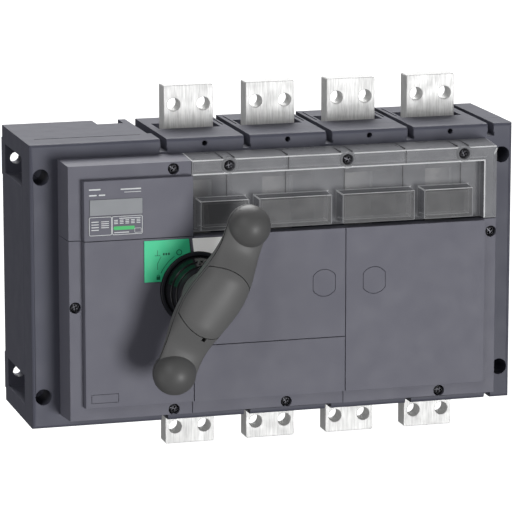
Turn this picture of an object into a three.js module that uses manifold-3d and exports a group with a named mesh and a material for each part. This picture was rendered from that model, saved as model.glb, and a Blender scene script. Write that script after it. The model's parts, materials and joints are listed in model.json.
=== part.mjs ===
// Four-pole air-break switch disconnector for a switchboard: a moulded case in two halves, covers, a clear
// shield over the contacts, a rotary lever handle, and the rack, shaft and contacts that the handle works.
// Millimetres. X runs to the right, Y into the wall, Z up. The wall is the plane Y = 0.
import * as THREE from "three";
import { mergeVertices } from "three/addons/utils/BufferGeometryUtils.js";
import Module from "manifold-3d";

const wasm = await Module();
wasm.setup();

// ---- Driving dimensions ----
const GAP = 0.3; // between pieces that meet
const CASE_HALF_WIDTH = 205;
const CASE_HALF_HEIGHT = 117;
const CASE_BACK_Y = -3; // the feet stand 3 proud of it and reach the wall
const SPLIT_Y = -81; // where the two halves of the case meet
const CASE_FRONT_Y = -108;
const CASE_EDGE_R = 3; // rounding where the front meets the top, bottom and sides
const CASE_WALL = 12;
const FRONT_WALL = 8;
const REAR_WALL = 9;

const POLE_PITCH = 70;
const FIRST_POLE_X = -59.2;
const POLES = [0, 1, 2, 3].map((i) => FIRST_POLE_X + POLE_PITCH * i);
const POLE_ROOM_HALF = 29; // half the width of one pole's compartment
const THROAT_HALF = 26; // half the width of the opening that a terminal leaves through
const THROAT_FRONT_Y = -60;
const THROAT_BACK_Y = -32;

const TERMINAL_HALF = 21;
const TERMINAL_FRONT_Y = -55;
const TERMINAL_BACK_Y = -39;
const TOP_TERMINAL = { end: 151.8, holes: 135.8 };
const BOTTOM_TERMINAL = { end: -151.2, holes: -137.2 };
const TERMINAL_HOLE_X = 12.5;
const TERMINAL_HOLE_R = 5.5;

const FIXING = { x: 195.7, z: 90.5, accessR: 6.7, boltR: 5 };
const FIXING_POCKET = { width: 21, half: 12, frontY: -79, backY: -14 }; // open side pocket at each fixing
const FOOT = { width: 24, z: 91, half: 15.5, middleHalf: 40 };
const GAUGE_HOLE = { shift: -0.5, z: 112, r: 2.2, depth: 9 }; // one above each pole
const TOP_NOTCH = { left: -128.5, right: -106.5, frontY: -22, depth: 7 };
const BARRIER_SLIT = { offsets: [-5, 6.6], half: 0.6, frontY: -52, backY: -10, depth: 3 };

const COVER = { left: -182, right: 182, bottom: -106, top: 105, frontY: -138.5, wall: 3, draft: 1.5 };
const PANEL = { left: -169.5, right: 169.5, bottom: -94, top: 92.7, frontY: -144.5, draft: 0.6 };
const SEAM = 0.5;
const TOP_SEAM_Z = 43.3;
const LEFT_SEAM_X = -79;
const RIGHT_SEAM_X = 49;
const LOW_SEAM_Z = -47.2;
const COVER_SCREWS = [
  [-93.9, 97.8],
  [-175.6, -11.2],
  [-94.3, -100.2],
  [0.4, -100.1],
  [132.2, -99.8],
  [175.9, 32.3],
];
const SHIELD_SCREWS = [
  [-47.5, 98.3],
  [52, 98.3],
  [152, 98.3],
];

const HUB = { x: -76.2, z: 0, holeR: 30.8 };
const HANDLE_TILT = THREE.MathUtils.degToRad(28); // from vertical, top end to the right
const HANDLE_ARM = 65.5; // hub axis to the centre of each end ball
const HANDLE_Y = -188; // middle plane of the lever
const BALL_R = 17.5;
const HANDLE_WIDTH = { middle: 23.4, neck: 17 }; // half the lever's width
const HANDLE_DEPTH = { middle: 19, neck: 8.2, neckStart: 20 }; // half the lever's thickness
const HANDLE_SWELL = 2.4; // how far the lever's middle stands forward of its ends
const HANDLE_SWAY = { most: 2.5, reach: 60 }; // sideways curve of the two arms
const HANDLE_SPLIT_Y = HANDLE_Y - 5; // where the rear shell meets the front shell
const CAP = { floorY: HANDLE_Y - 7.5, radius: 33, offset: 4 }; // the padlock cap, under two crossing discs
const HUB_FRONT_Y = -170.3;

const PINION = { pitchR: 8, teeth: 12, outerR: 8.9, rootR: 6.5, yFront: -126, yBack: -114 };
const SHAFT = { y: SPLIT_Y, z: -25, r: 7, seatR: 11.4, left: -130, right: 190.5 };
const LEVER = { reach: 40, rise: THREE.MathUtils.degToRad(9), noseR: 4, left: -117, right: -107 };

// ---- Materials ----
function finish(color, roughness, metalness, opacity = 1) {
  return new THREE.MeshStandardMaterial({
    color,
    roughness,
    metalness,
    opacity,
    transparent: opacity < 1,
  });
}
const CASE_PLASTIC = finish(0x6b6b75, 0.55, 0);
const COVER_PLASTIC = finish(0x74747f, 0.5, 0);
const CLEAR_PLASTIC = finish(0xd8dcdc, 0.08, 0, 0.25);
const HANDLE_PLASTIC = finish(0x4c4c4a, 0.5, 0);
const BLACK_PLASTIC = finish(0x16161a, 0.35, 0);
const LABEL_WHITE = finish(0xe8e8e8, 0.5, 0);
const LABEL_GREEN = finish(0x3fbf8a, 0.45, 0);
const WINDOW_GREY = finish(0xa0a3a5, 0.3, 0);
const TINNED_COPPER = finish(0xdcdcdc, 0.35, 0.9);
const COPPER = finish(0xb87348, 0.35, 0.95);
const STEEL = finish(0x9a9a98, 0.35, 0.9);
const DARK_STEEL = finish(0x2a2a2c, 0.4, 0.8);
const ARC_PLATE = finish(0x6f6a63, 0.5, 0.8);

// ---- Solids ----
function solid(geometry) {
  const bare = geometry.clone();
  for (const name of Object.keys(bare.attributes)) {
    if (name !== "position") bare.deleteAttribute(name);
  }
  const merged = mergeVertices(bare, 1e-4);
  const corners = merged.index.array;
  const kept = [];
  for (let i = 0; i < corners.length; i += 3) {
    const [a, b, c] = corners.slice(i, i + 3);
    if (a !== b && b !== c && a !== c) kept.push(a, b, c);
  }
  return new wasm.Manifold(
    new wasm.Mesh({
      numProp: 3,
      vertProperties: merged.attributes.position.array,
      triVerts: new Uint32Array(kept),
    }),
  );
}

const join = (...bodies) => bodies.flat().reduce((all, one) => all.add(one));
const cut = (body, ...tools) => tools.flat().reduce((rest, tool) => rest.subtract(tool), body);

function box(x0, x1, y0, y1, z0, z1) {
  const geometry = new THREE.BoxGeometry(x1 - x0, y1 - y0, z1 - z0);
  geometry.translate((x0 + x1) / 2, (y0 + y1) / 2, (z0 + z1) / 2);
  return solid(geometry);
}

// A block whose front face is smaller than its back face by `draft` on each side, as moulded covers are.
function draftedBlock(x0, x1, yFront, yBack, z0, z1, draft) {
  const geometry = new THREE.BoxGeometry(x1 - x0, yBack - yFront, z1 - z0);
  const place = geometry.attributes.position;
  for (let i = 0; i < place.count; i++) {
    if (place.getY(i) > 0) continue;
    place.setX(i, place.getX(i) - Math.sign(place.getX(i)) * draft);
    place.setZ(i, place.getZ(i) - Math.sign(place.getZ(i)) * draft);
  }
  geometry.translate((x0 + x1) / 2, (yFront + yBack) / 2, (z0 + z1) / 2);
  return solid(geometry);
}

function rodX(x0, x1, y, z, r, sides = 20) {
  const geometry = new THREE.CylinderGeometry(r, r, x1 - x0, sides);
  geometry.rotateZ(Math.PI / 2);
  geometry.translate((x0 + x1) / 2, y, z);
  return solid(geometry);
}

function rodY(x, z, yFront, yBack, r, sides = 20) {
  const geometry = new THREE.CylinderGeometry(r, r, yBack - yFront, sides);
  geometry.translate(x, (yFront + yBack) / 2, z);
  return solid(geometry);
}

// An outline in X and Z, given a depth from yBack forward to yFront.
function plate(shape, yFront, yBack, curveSegments = 10) {
  const geometry = new THREE.ExtrudeGeometry(shape, {
    depth: yBack - yFront,
    bevelEnabled: false,
    curveSegments,
  });
  geometry.rotateX(Math.PI / 2);
  geometry.translate(0, yBack, 0);
  return solid(geometry);
}

// An outline in Y and Z, given a width from x0 to x1.
function slab(shape, x0, x1, curveSegments = 8) {
  const geometry = new THREE.ExtrudeGeometry(shape, {
    depth: x1 - x0,
    bevelEnabled: false,
    curveSegments,
  });
  const turn = new THREE.Matrix4().makeBasis(
    new THREE.Vector3(0, 1, 0),
    new THREE.Vector3(0, 0, 1),
    new THREE.Vector3(1, 0, 0),
  );
  geometry.applyMatrix4(turn);
  geometry.translate(x0, 0, 0);
  return solid(geometry);
}

// An outline in X and Y, given a height from z0 to z1.
function post(shape, z0, z1) {
  const geometry = new THREE.ExtrudeGeometry(shape, { depth: z1 - z0, bevelEnabled: false });
  geometry.translate(0, 0, z0);
  return solid(geometry);
}

// A turned piece about an axis parallel to Y. The profile holds [radius, y] pairs from back to front.
function turned(x, z, profile, sides = 24) {
  const points = profile.map(([r, y]) => new THREE.Vector2(r, -y));
  const geometry = new THREE.LatheGeometry(points, sides);
  geometry.rotateX(Math.PI);
  geometry.translate(x, 0, z);
  return solid(geometry);
}

function outline(points) {
  return new THREE.Shape(points.map(([a, b]) => new THREE.Vector2(a, b)));
}

const part = new THREE.Group();
function addPart(name, body, material) {
  const data = body.getMesh();
  const geometry = new THREE.BufferGeometry();
  geometry.setAttribute("position", new THREE.BufferAttribute(new Float32Array(data.vertProperties), 3));
  geometry.setIndex(new THREE.BufferAttribute(new Uint32Array(data.triVerts), 1));
  geometry.computeVertexNormals();
  const mesh = new THREE.Mesh(geometry, material.clone());
  mesh.name = name;
  part.add(mesh);
}

const mirrored = (values) => values.flatMap((value) => [-value, value]);

// ---- Case ----
// Grooves that take the flat barriers between phases, in the top and bottom faces, from front to back.
const BARRIER = { half: 2.6, depth: 10.5, footHalf: 3.2, footHeight: 3, relief: 6 };
const BARRIER_XS = [0, 1, 2, 3, 4].map((i) => FIRST_POLE_X + POLE_PITCH * (i - 0.5));

function barrierGrooves() {
  return BARRIER_XS.flatMap((x, i) =>
    [-1, 1].flatMap((side) => {
      const floor = side * (CASE_HALF_HEIGHT - BARRIER.depth);
      const open = side * (CASE_HALF_HEIGHT + 1);
      const low = Math.min(floor, open);
      const high = Math.max(floor, open);
      const groove = box(x - BARRIER.half, x + BARRIER.half, CASE_FRONT_Y - 1, 1, low, high);
      const foot = box(
        x - BARRIER.footHalf,
        x + BARRIER.footHalf,
        CASE_FRONT_Y - 1,
        SPLIT_Y,
        Math.min(floor, floor + side * BARRIER.footHeight),
        Math.max(floor, floor + side * BARRIER.footHeight),
      );
      // Beside the mechanism the groove is wider behind the split, where the pole block stands free.
      const relief = box(x - BARRIER.relief, x, SPLIT_Y + 3, 1, low, high);
      return i === 0 ? [groove, foot, relief] : [groove, foot];
    }),
  );
}

// Rooms that run from the rear wall to the front wall: one for each pole and one for the mechanism.
const MECHANISM_ROOM = { left: -183, right: -105 };
function rooms(yFront, yBack) {
  const inner = CASE_HALF_HEIGHT - CASE_WALL;
  const poles = POLES.map((x) =>
    box(x - POLE_ROOM_HALF, x + POLE_ROOM_HALF, yFront, yBack, -inner, inner),
  );
  const mechanism = box(MECHANISM_ROOM.left, MECHANISM_ROOM.right, yFront, yBack, -inner, inner);
  return [...poles, mechanism];
}

function shaftSeat() {
  return rodX(MECHANISM_ROOM.right - 1, SHAFT.right + 1, SHAFT.y, SHAFT.z, SHAFT.seatR, 16);
}

function fixingHoles() {
  return mirrored([FIXING.x]).flatMap((x) =>
    mirrored([FIXING.z]).flatMap((z) => {
      const { width, half, frontY, backY } = FIXING_POCKET;
      const inner = Math.sign(x) * (CASE_HALF_WIDTH - width);
      const outer = Math.sign(x) * (CASE_HALF_WIDTH + 1);
      return [
        rodY(x, z, CASE_FRONT_Y - 1, -60, FIXING.accessR, 16),
        rodY(x, z, -30, 1, FIXING.boltR, 12),
        box(Math.min(inner, outer), Math.max(inner, outer), frontY, backY, z - half, z + half),
      ];
    }),
  );
}

function feet() {
  const corners = mirrored([CASE_HALF_WIDTH]).flatMap((x) =>
    mirrored([FOOT.z]).map((z) => {
      const inner = x - Math.sign(x) * FOOT.width;
      const [low, high] = [z - FOOT.half, z + FOOT.half];
      return box(Math.min(x, inner), Math.max(x, inner), CASE_BACK_Y - 1, 0, low, high);
    }),
  );
  const middle = FOOT.middleHalf;
  return [...corners, box(-middle, middle, CASE_BACK_Y - 1, 0, -middle, middle)];
}

function rearCase() {
  const block = box(
    -CASE_HALF_WIDTH,
    CASE_HALF_WIDTH,
    SPLIT_Y + GAP / 2,
    CASE_BACK_Y,
    -CASE_HALF_HEIGHT,
    CASE_HALF_HEIGHT,
  );
  const past = CASE_HALF_HEIGHT + 1;
  const throats = POLES.map((x) =>
    box(x - THROAT_HALF, x + THROAT_HALF, THROAT_FRONT_Y, THROAT_BACK_Y, -past, past),
  );
  // Thin gaps between each barrier groove and its neighbouring pole block, behind the terminals.
  const slits = BARRIER_XS.slice(1, 4).flatMap((x) =>
    BARRIER_SLIT.offsets.map((offset) => {
      const { half, frontY, backY, depth } = BARRIER_SLIT;
      const edge = x + offset;
      return box(edge - half, edge + half, frontY, backY, CASE_HALF_HEIGHT - depth, past);
    }),
  );
  const { left, right, frontY, depth } = TOP_NOTCH;
  const topNotch = box(left, right, frontY, 1, CASE_HALF_HEIGHT - depth, past);
  return cut(
    join(block, feet()),
    rooms(SPLIT_Y - 1, CASE_BACK_Y - REAR_WALL),
    throats,
    slits,
    topNotch,
    barrierGrooves(),
    fixingHoles(),
    shaftSeat(),
  );
}

// Windows in the front wall through which the clear shield shows each pole's contacts.
const CONTACT_WINDOW = { half: 22, bottom: 30, top: 90 };
const LEVER_WINDOW = { left: -120, right: -105.5, bottom: -46, top: 4 };

function leverWindow(yFront, yBack) {
  const { left, right, bottom, top } = LEVER_WINDOW;
  return box(left, right, yFront, yBack, bottom, top);
}

// Corners, as [depth, across], of a section of the front half of the case, with its two front edges rounded.
function roundedSection(half) {
  const back = SPLIT_Y - GAP / 2;
  const steps = 4;
  const points = [
    [back, -half],
    [back, half],
  ];
  for (const side of [1, -1]) {
    for (let i = 0; i <= steps; i++) {
      const turn = (Math.PI / 2) * (side > 0 ? i / steps : 1 - i / steps);
      const depth = CASE_FRONT_Y + CASE_EDGE_R * (1 - Math.sin(turn));
      points.push([depth, side * (half - CASE_EDGE_R * (1 - Math.cos(turn)))]);
    }
  }
  return points;
}

function frontBlock() {
  const acrossZ = outline(roundedSection(CASE_HALF_HEIGHT));
  const acrossX = roundedSection(CASE_HALF_WIDTH).map(([y, x]) => [x, y]);
  return slab(acrossZ, -CASE_HALF_WIDTH, CASE_HALF_WIDTH).intersect(
    post(outline(acrossX.reverse()), -CASE_HALF_HEIGHT, CASE_HALF_HEIGHT),
  );
}

function frontCase() {
  const windows = POLES.map((x) =>
    box(
      x - CONTACT_WINDOW.half,
      x + CONTACT_WINDOW.half,
      CASE_FRONT_Y - 1,
      CASE_FRONT_Y + FRONT_WALL + 1,
      CONTACT_WINDOW.bottom,
      CONTACT_WINDOW.top,
    ),
  );
  const gaugeHoles = POLES.map((x) => {
    const { shift, z, r, depth } = GAUGE_HOLE;
    return rodY(x + shift, z, CASE_FRONT_Y - 1, CASE_FRONT_Y + depth, r, 10);
  });
  const screwHoles = [...COVER_SCREWS, ...SHIELD_SCREWS].map(([x, z]) =>
    rodY(x, z, CASE_FRONT_Y - 1, CASE_FRONT_Y + 7, 2.9, 8),
  );
  const plateScrewHoles = PLATE_SCREWS.map(([x, z]) =>
    rodY(x, z, CASE_FRONT_Y - 1, CASE_FRONT_Y + 6, 2.4, 8),
  );
  const spindleClearance = rodY(HUB.x, HUB.z, CASE_FRONT_Y - 1, CASE_FRONT_Y + 3, 6, 20);
  return cut(
    frontBlock(),
    rooms(CASE_FRONT_Y + FRONT_WALL, SPLIT_Y + 1),
    windows,
    gaugeHoles,
    screwHoles,
    plateScrewHoles,
    spindleClearance,
    leverWindow(CASE_FRONT_Y - 1, CASE_FRONT_Y + FRONT_WALL + 1),
    barrierGrooves(),
    fixingHoles(),
    shaftSeat(),
  );
}

// ---- Covers and clear shield ----
const PLATE_SCREWS = [
  [-48, 20],
  [-48, -60],
];
const COVER_BACK_Y = CASE_FRONT_Y - GAP;
const SCREW = { headR: 4.2, recessR: 4.6, shankR: 2.5, headFrontY: -136.4, headBackY: -131, tipY: -102.5 };

function coverOuter() {
  const frame = draftedBlock(
    COVER.left,
    COVER.right,
    COVER.frontY,
    COVER_BACK_Y,
    COVER.bottom,
    COVER.top,
    COVER.draft,
  );
  const panel = draftedBlock(
    PANEL.left,
    PANEL.right,
    PANEL.frontY,
    COVER.frontY + 1,
    PANEL.bottom,
    PANEL.top,
    PANEL.draft,
  );
  return join(frame, panel);
}

function coverInner() {
  const wall = COVER.wall;
  const frame = draftedBlock(
    COVER.left + wall,
    COVER.right - wall,
    COVER.frontY + wall,
    COVER_BACK_Y + 1,
    COVER.bottom + wall,
    COVER.top - wall,
    COVER.draft,
  );
  const panel = draftedBlock(
    PANEL.left + wall,
    PANEL.right - wall,
    PANEL.frontY + wall,
    COVER.frontY + wall + 1,
    PANEL.bottom + wall,
    PANEL.top - wall,
    PANEL.draft,
  );
  return join(frame, panel);
}

const screwBoss = ([x, z]) => rodY(x, z, COVER.frontY + 0.5, COVER_BACK_Y, 7.2, 14);
const screwBore = ([x, z]) =>
  join(
    rodY(x, z, COVER.frontY - 7, SCREW.headBackY + GAP, SCREW.recessR, 20),
    rodY(x, z, COVER.frontY, COVER_BACK_Y + 1, SCREW.shankR + GAP, 8),
  );

const hubHole = () => rodY(HUB.x, HUB.z, PANEL.frontY - 1, COVER_BACK_Y + 1, HUB.holeR, 40);

// A disc with flats on its left and right, for the blanked lock positions.
function lockBlankShape(x, z, r, flat) {
  const reach = Math.acos(flat / r);
  const shape = new THREE.Shape();
  shape.absarc(x, z, r, reach, Math.PI - reach, false);
  shape.absarc(x, z, r, Math.PI + reach, 2 * Math.PI - reach, false);
  return shape;
}
const LOCK_BLANKS = { mid: [30.7, -1.5], right: [73.4, -1.6] };
const LOCK_R = 11.3;
const LOCK_FLAT = 9.6;
const ACCESS_BLANK = { left: -164.3, right: -141.9, bottom: -89.5, top: -82.2 };

function coverPiece(x0, x1, z0, z1, bosses) {
  const inset = SEAM / 2;
  const region = box(x0 + inset, x1 - inset, PANEL.frontY - 1, 0, z0 + inset, z1 - inset);
  const outer = coverOuter();
  const shell = cut(outer, coverInner()).intersect(region);
  const trimmed = bosses.map((at) => screwBoss(at).intersect(outer));
  return cut(join(shell, trimmed), bosses.map(screwBore));
}

function addCovers() {
  const far = 400;
  const lockHoles = Object.values(LOCK_BLANKS).map(([x, z]) =>
    plate(lockBlankShape(x, z, LOCK_R, LOCK_FLAT), PANEL.frontY - 1, PANEL.frontY + 4),
  );
  const accessHole = box(
    ACCESS_BLANK.left,
    ACCESS_BLANK.right,
    PANEL.frontY - 1,
    PANEL.frontY + 4,
    ACCESS_BLANK.bottom,
    ACCESS_BLANK.top,
  );
  const [topLeft, sideLeft, lowLeft, lowMid, lowRight, sideRight] = COVER_SCREWS;
  const pieces = {
    cover_upper_left: coverPiece(-far, LEFT_SEAM_X, TOP_SEAM_Z, far, [topLeft]),
    cover_lower_left: coverPiece(-far, LEFT_SEAM_X, -far, TOP_SEAM_Z, [sideLeft, lowLeft]),
    cover_mid_upper: coverPiece(LEFT_SEAM_X, RIGHT_SEAM_X, LOW_SEAM_Z, TOP_SEAM_Z, []),
    cover_mid_lower: coverPiece(LEFT_SEAM_X, RIGHT_SEAM_X, -far, LOW_SEAM_Z, [lowMid]),
    cover_right: coverPiece(RIGHT_SEAM_X, far, -far, TOP_SEAM_Z, [lowRight, sideRight]),
  };
  pieces.cover_lower_left = cut(pieces.cover_lower_left, hubHole(), accessHole);
  pieces.cover_mid_upper = cut(pieces.cover_mid_upper, hubHole(), lockHoles);
  pieces.cover_right = cut(pieces.cover_right, lockHoles);
  for (const [name, body] of Object.entries(pieces)) addPart(name, body, COVER_PLASTIC);
}

// The shield is one clear moulding: a rim level with the frame, a ledge set back, and four boxes that stand
// forward level with the panel, one in front of each pole's contacts.
const SHIELD = { wall: 2.4, ledgeY: -129.5, rimBottom: 91.5, rimLeft: 169.5, boxTop: 71.5, boxBottom: 46.4 };
const SHIELD_WEBS = { xs: [2, 102], half: 0.8, backY: COVER_BACK_Y - 8 };
const SHIELD_BOSS = { r: 6.5, frontY: COVER.frontY - 1.2 };
const SHIELD_BOXES = [
  [-73.5, -32],
  [-24.7, 37.7],
  [45.5, 108.4],
  [115.3, 158.6],
];

function shieldBody(inset) {
  const seam = SEAM / 2;
  const left = LEFT_SEAM_X + seam + inset;
  const bottom = TOP_SEAM_Z + seam + (inset ? -1 : 0);
  const right = COVER.right - inset;
  const top = COVER.top - inset;
  const back = COVER_BACK_Y + (inset ? 1 : 0);
  const rimY = COVER.frontY + inset;
  const ledgeY = SHIELD.ledgeY + inset;
  const base = box(left, right, ledgeY, back, bottom, top);
  const rimTop = box(left, right, rimY, ledgeY + 1, SHIELD.rimBottom + inset, top);
  const rimSide = box(SHIELD.rimLeft + inset, right, rimY, ledgeY + 1, bottom, top);
  const trim = draftedBlock(COVER.left, right, rimY, back, COVER.bottom, top, COVER.draft);
  const boxes = SHIELD_BOXES.map(([x0, x1]) =>
    draftedBlock(
      x0 + inset,
      x1 - inset,
      PANEL.frontY + inset,
      ledgeY + 1,
      SHIELD.boxBottom + inset,
      SHIELD.boxTop - inset,
      0.4,
    ),
  );
  return join(join(base, rimTop, rimSide).intersect(trim), boxes);
}

function clearShield() {
  const shell = cut(shieldBody(0), shieldBody(SHIELD.wall));
  const bosses = SHIELD_SCREWS.map(([x, z]) =>
    rodY(x, z, SHIELD_BOSS.frontY, COVER_BACK_Y, SHIELD_BOSS.r, 20),
  );
  const bores = SHIELD_SCREWS.map(screwBore);
  // Stiffening webs inside, between the boxes and behind the ledge.
  const webs = SHIELD_WEBS.xs.map((x) => {
    const { half, backY } = SHIELD_WEBS;
    return box(x - half, x + half, COVER.frontY + 1, backY, SHIELD.rimBottom + 2, COVER.top - 2);
  });
  return cut(join(shell, bosses, webs), bores);
}

function screw([x, z], frontY) {
  const depth = 2.2;
  const head = rodY(x, z, frontY, SCREW.headBackY, SCREW.headR, 14);
  const shank = rodY(x, z, SCREW.headBackY - 1, SCREW.tipY, SCREW.shankR, 8);
  const blades = [
    box(x - 2.7, x + 2.7, frontY - 1, frontY + depth, z - 0.6, z + 0.6),
    box(x - 0.6, x + 0.6, frontY - 1, frontY + depth, z - 2.7, z + 2.7),
  ];
  return cut(join(head, shank), blades);
}

function addScrews() {
  COVER_SCREWS.forEach((at, i) => addPart(`cover_screw_${i + 1}`, screw(at, SCREW.headFrontY), DARK_STEEL));
  SHIELD_SCREWS.forEach((at, i) => addPart(`shield_screw_${i + 1}`, screw(at, -138.4), DARK_STEEL));
  PLATE_SCREWS.forEach(([x, z], i) => {
    const head = rodY(x, z, MECHANISM_PLATE.frontY - 3, MECHANISM_PLATE.frontY - GAP, 4, 12);
    const shank = rodY(x, z, MECHANISM_PLATE.frontY - 1, CASE_FRONT_Y + 5.5, 2, 8);
    const slot = box(x - 5, x + 5, -130, MECHANISM_PLATE.frontY - 2, z - 0.6, z + 0.6);
    addPart(`plate_screw_${i + 1}`, cut(join(head, shank), slot), STEEL);
  });
}

function addBlanks() {
  for (const [side, [x, z]] of Object.entries(LOCK_BLANKS)) {
    const shape = lockBlankShape(x, z, LOCK_R - GAP, LOCK_FLAT - GAP);
    addPart(`lock_blank_${side}`, plate(shape, PANEL.frontY, PANEL.frontY + 3.5), COVER_PLASTIC);
  }
  const { left, right, bottom, top } = ACCESS_BLANK;
  addPart(
    "access_blank",
    box(left + GAP, right - GAP, PANEL.frontY, PANEL.frontY + 3.5, bottom + GAP, top - GAP),
    COVER_PLASTIC,
  );
}

// ---- Labels ----
const LABEL_BACK_Y = PANEL.frontY - GAP;
const LABEL_FRONT_Y = LABEL_BACK_Y - 0.7;

function addLabels() {
  addPart("nameplate", box(-165.3, -121.4, LABEL_FRONT_Y, LABEL_BACK_Y, 48, 63.2), LABEL_WHITE);
  addPart("rating_window", box(-164.4, -121.4, LABEL_FRONT_Y, LABEL_BACK_Y, 64.3, 77), WINDOW_GREY);
  const hubRoom = rodY(HUB.x, HUB.z, LABEL_FRONT_Y - 1, LABEL_BACK_Y + 1, HUB.holeR + 0.2, 40);
  const green = outline([
    [-120.2, 7.7],
    [-79.5, 7.7],
    [-83.2, 41.6],
    [-120.2, 41.6],
  ]);
  const white = outline([
    [-76.3, 7.7],
    [-32, 7.7],
    [-32, 41.6],
    [-80.3, 41.6],
  ]);
  addPart("dial_green", cut(plate(green, LABEL_FRONT_Y, LABEL_BACK_Y), hubRoom), LABEL_GREEN);
  addPart("dial_white", cut(plate(white, LABEL_FRONT_Y, LABEL_BACK_Y), hubRoom), LABEL_WHITE);
}

// ---- Handle ----
// The lever lies along its own axis: `along` runs from the hub to the upper ball, `across` is its width.
function leverHalfWidth(along) {
  const t = Math.abs(along);
  const ball = HANDLE_ARM - t;
  if (t >= HANDLE_ARM - 8) return Math.sqrt(Math.max(BALL_R ** 2 - ball ** 2, 0));
  const blend = THREE.MathUtils.smoothstep(t, 0, HANDLE_ARM - 10);
  return THREE.MathUtils.lerp(HANDLE_WIDTH.middle, HANDLE_WIDTH.neck, blend);
}

const leverSway = (along) => {
  const { most, reach } = HANDLE_SWAY;
  return Math.abs(along) < reach ? most * Math.sin((Math.PI * along) / reach) : 0;
};

function leverSwell(along) {
  return HANDLE_SWELL * (1 - THREE.MathUtils.smoothstep(Math.abs(along), 0, HANDLE_ARM - BALL_R));
}

// The arm gets thinner outwards, and each ball stands proud of its end.
function leverHalfDepth(along) {
  const { middle, neck, neckStart } = HANDLE_DEPTH;
  const t = Math.abs(along);
  const ball = Math.sqrt(Math.max(BALL_R ** 2 - (HANDLE_ARM - t) ** 2, 0));
  const blend = THREE.MathUtils.smoothstep(t, neckStart, HANDLE_ARM - BALL_R);
  return Math.max(ball, THREE.MathUtils.lerp(middle, neck, blend));
}

function leverBody() {
  const half = HANDLE_ARM + BALL_R;
  const rows = 34;
  const points = [];
  for (let i = 0; i <= rows; i++) {
    const along = -half * Math.cos((Math.PI * i) / rows);
    points.push(new THREE.Vector2(i % rows ? leverHalfWidth(along) : 0, along));
  }
  const geometry = new THREE.LatheGeometry(points, 16);
  const place = geometry.attributes.position;
  for (let i = 0; i < place.count; i++) {
    const along = place.getY(i);
    const flatten = Math.min(1, leverHalfDepth(along) / Math.max(leverHalfWidth(along), 1));
    place.setX(i, place.getX(i) + leverSway(along));
    place.setZ(i, place.getZ(i) * flatten + leverSwell(along));
  }
  return solid(placeOnLever(geometry));
}

// Turns a shape from the lever's own axes (X across, Y along, Z towards the front) to its place on the hub.
function placeOnLever(geometry) {
  geometry.rotateX(Math.PI / 2);
  geometry.rotateY(HANDLE_TILT);
  geometry.translate(HUB.x, HANDLE_Y, HUB.z);
  return geometry;
}

function capRegion(radius) {
  const discs = [-CAP.offset, CAP.offset].map((along) => {
    const disc = new THREE.CylinderGeometry(radius, radius, 40, 40);
    disc.rotateX(Math.PI / 2);
    disc.translate(0, along, 24);
    return solid(placeOnLever(disc));
  });
  return discs[0].intersect(discs[1]);
}

function addHandle() {
  const body = leverBody();
  const far = 300;
  const aroundHub = (yFront, yBack, r, sides) => rodY(HUB.x, HUB.z, yFront, yBack, r, sides);
  const behind = box(-far, far, HANDLE_SPLIT_Y + GAP / 2, 0, -far, far);
  const ahead = box(-far, far, -far, HANDLE_SPLIT_Y - GAP / 2, -far, far);
  const aboveFloor = (y) => box(-far, far, -far, y, -far, far);
  const neck = aroundHub(HANDLE_Y, HUB_FRONT_Y - GAP, 20, 32);
  const spindleBore = aroundHub(HANDLE_Y + 5, -160, 6.4, 20);
  const plunger = aroundHub(CAP.floorY - 2, HANDLE_Y + 9, 5, 16);
  const plungerBore = aroundHub(CAP.floorY - 8, HANDLE_Y + 10, 5.4, 16);
  const well = capRegion(CAP.radius).intersect(aboveFloor(CAP.floorY));
  const lid = capRegion(CAP.radius - GAP).intersect(aboveFloor(CAP.floorY - GAP));
  const rear = join(body.intersect(behind), neck);
  addPart("handle_rear_shell", cut(rear, spindleBore, plungerBore), HANDLE_PLASTIC);
  addPart("handle_front_shell", cut(body.intersect(ahead), well, plungerBore), HANDLE_PLASTIC);
  addPart("handle_padlock_cap", join(body.intersect(lid), plunger), HANDLE_PLASTIC);

  const rotor = turned(HUB.x, HUB.z, [
    [6.4, -142],
    [27.1, -142],
    [27.1, -150],
    [25.5, -155],
    [23, -165],
    [20, HUB_FRONT_Y],
    [6.4, HUB_FRONT_Y],
    [6.4, -142],
  ]);
  addPart("handle_hub", rotor, BLACK_PLASTIC);

  const bezel = turned(HUB.x, HUB.z, [
    [6.5, -138.2],
    [34, -138.2],
    [34, -141.1],
    [30.4, -141.1],
    [30.4, -146.6],
    [27.6, -146.6],
    [27.6, -141.1],
    [6.5, -141.1],
    [6.5, -138.2],
  ]);
  addPart("dial_bezel", bezel, BLACK_PLASTIC);
}

// ---- Mechanism ----
function pinionShape() {
  const { teeth, outerR, rootR } = PINION;
  const step = (2 * Math.PI) / teeth;
  const corners = [];
  for (let i = 0; i < teeth; i++) {
    const middle = Math.PI + i * step;
    const at = (r, a) => [HUB.x + r * Math.cos(a), HUB.z + r * Math.sin(a)];
    corners.push(at(rootR, middle - 0.29 * step), at(outerR, middle - 0.1 * step));
    corners.push(at(outerR, middle + 0.1 * step), at(rootR, middle + 0.29 * step));
  }
  return outline(corners);
}

function driveSpindle() {
  const pinion = plate(pinionShape(), PINION.yFront, PINION.yBack);
  const journal = rodY(HUB.x, HUB.z, PINION.yBack - 1, CASE_FRONT_Y, 5, 20);
  const stem = rodY(HUB.x, HUB.z, -178, PINION.yFront + 1, 6, 20);
  return join(pinion, journal, stem);
}

const MECHANISM_PLATE = { left: -126, right: -36, bottom: -84, top: 38, frontY: -111.6, backY: -108.4 };
const RAIL = { x: -95, pins: [22, -40], r: 2.5, travel: 12.6 };
const SPRING_SEAT = { top: -79, x: -93, y: -119 };
const SPRING = { turns: 4.5, coilR: 5, wireR: 0.9, clearance: 1.3 };

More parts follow.
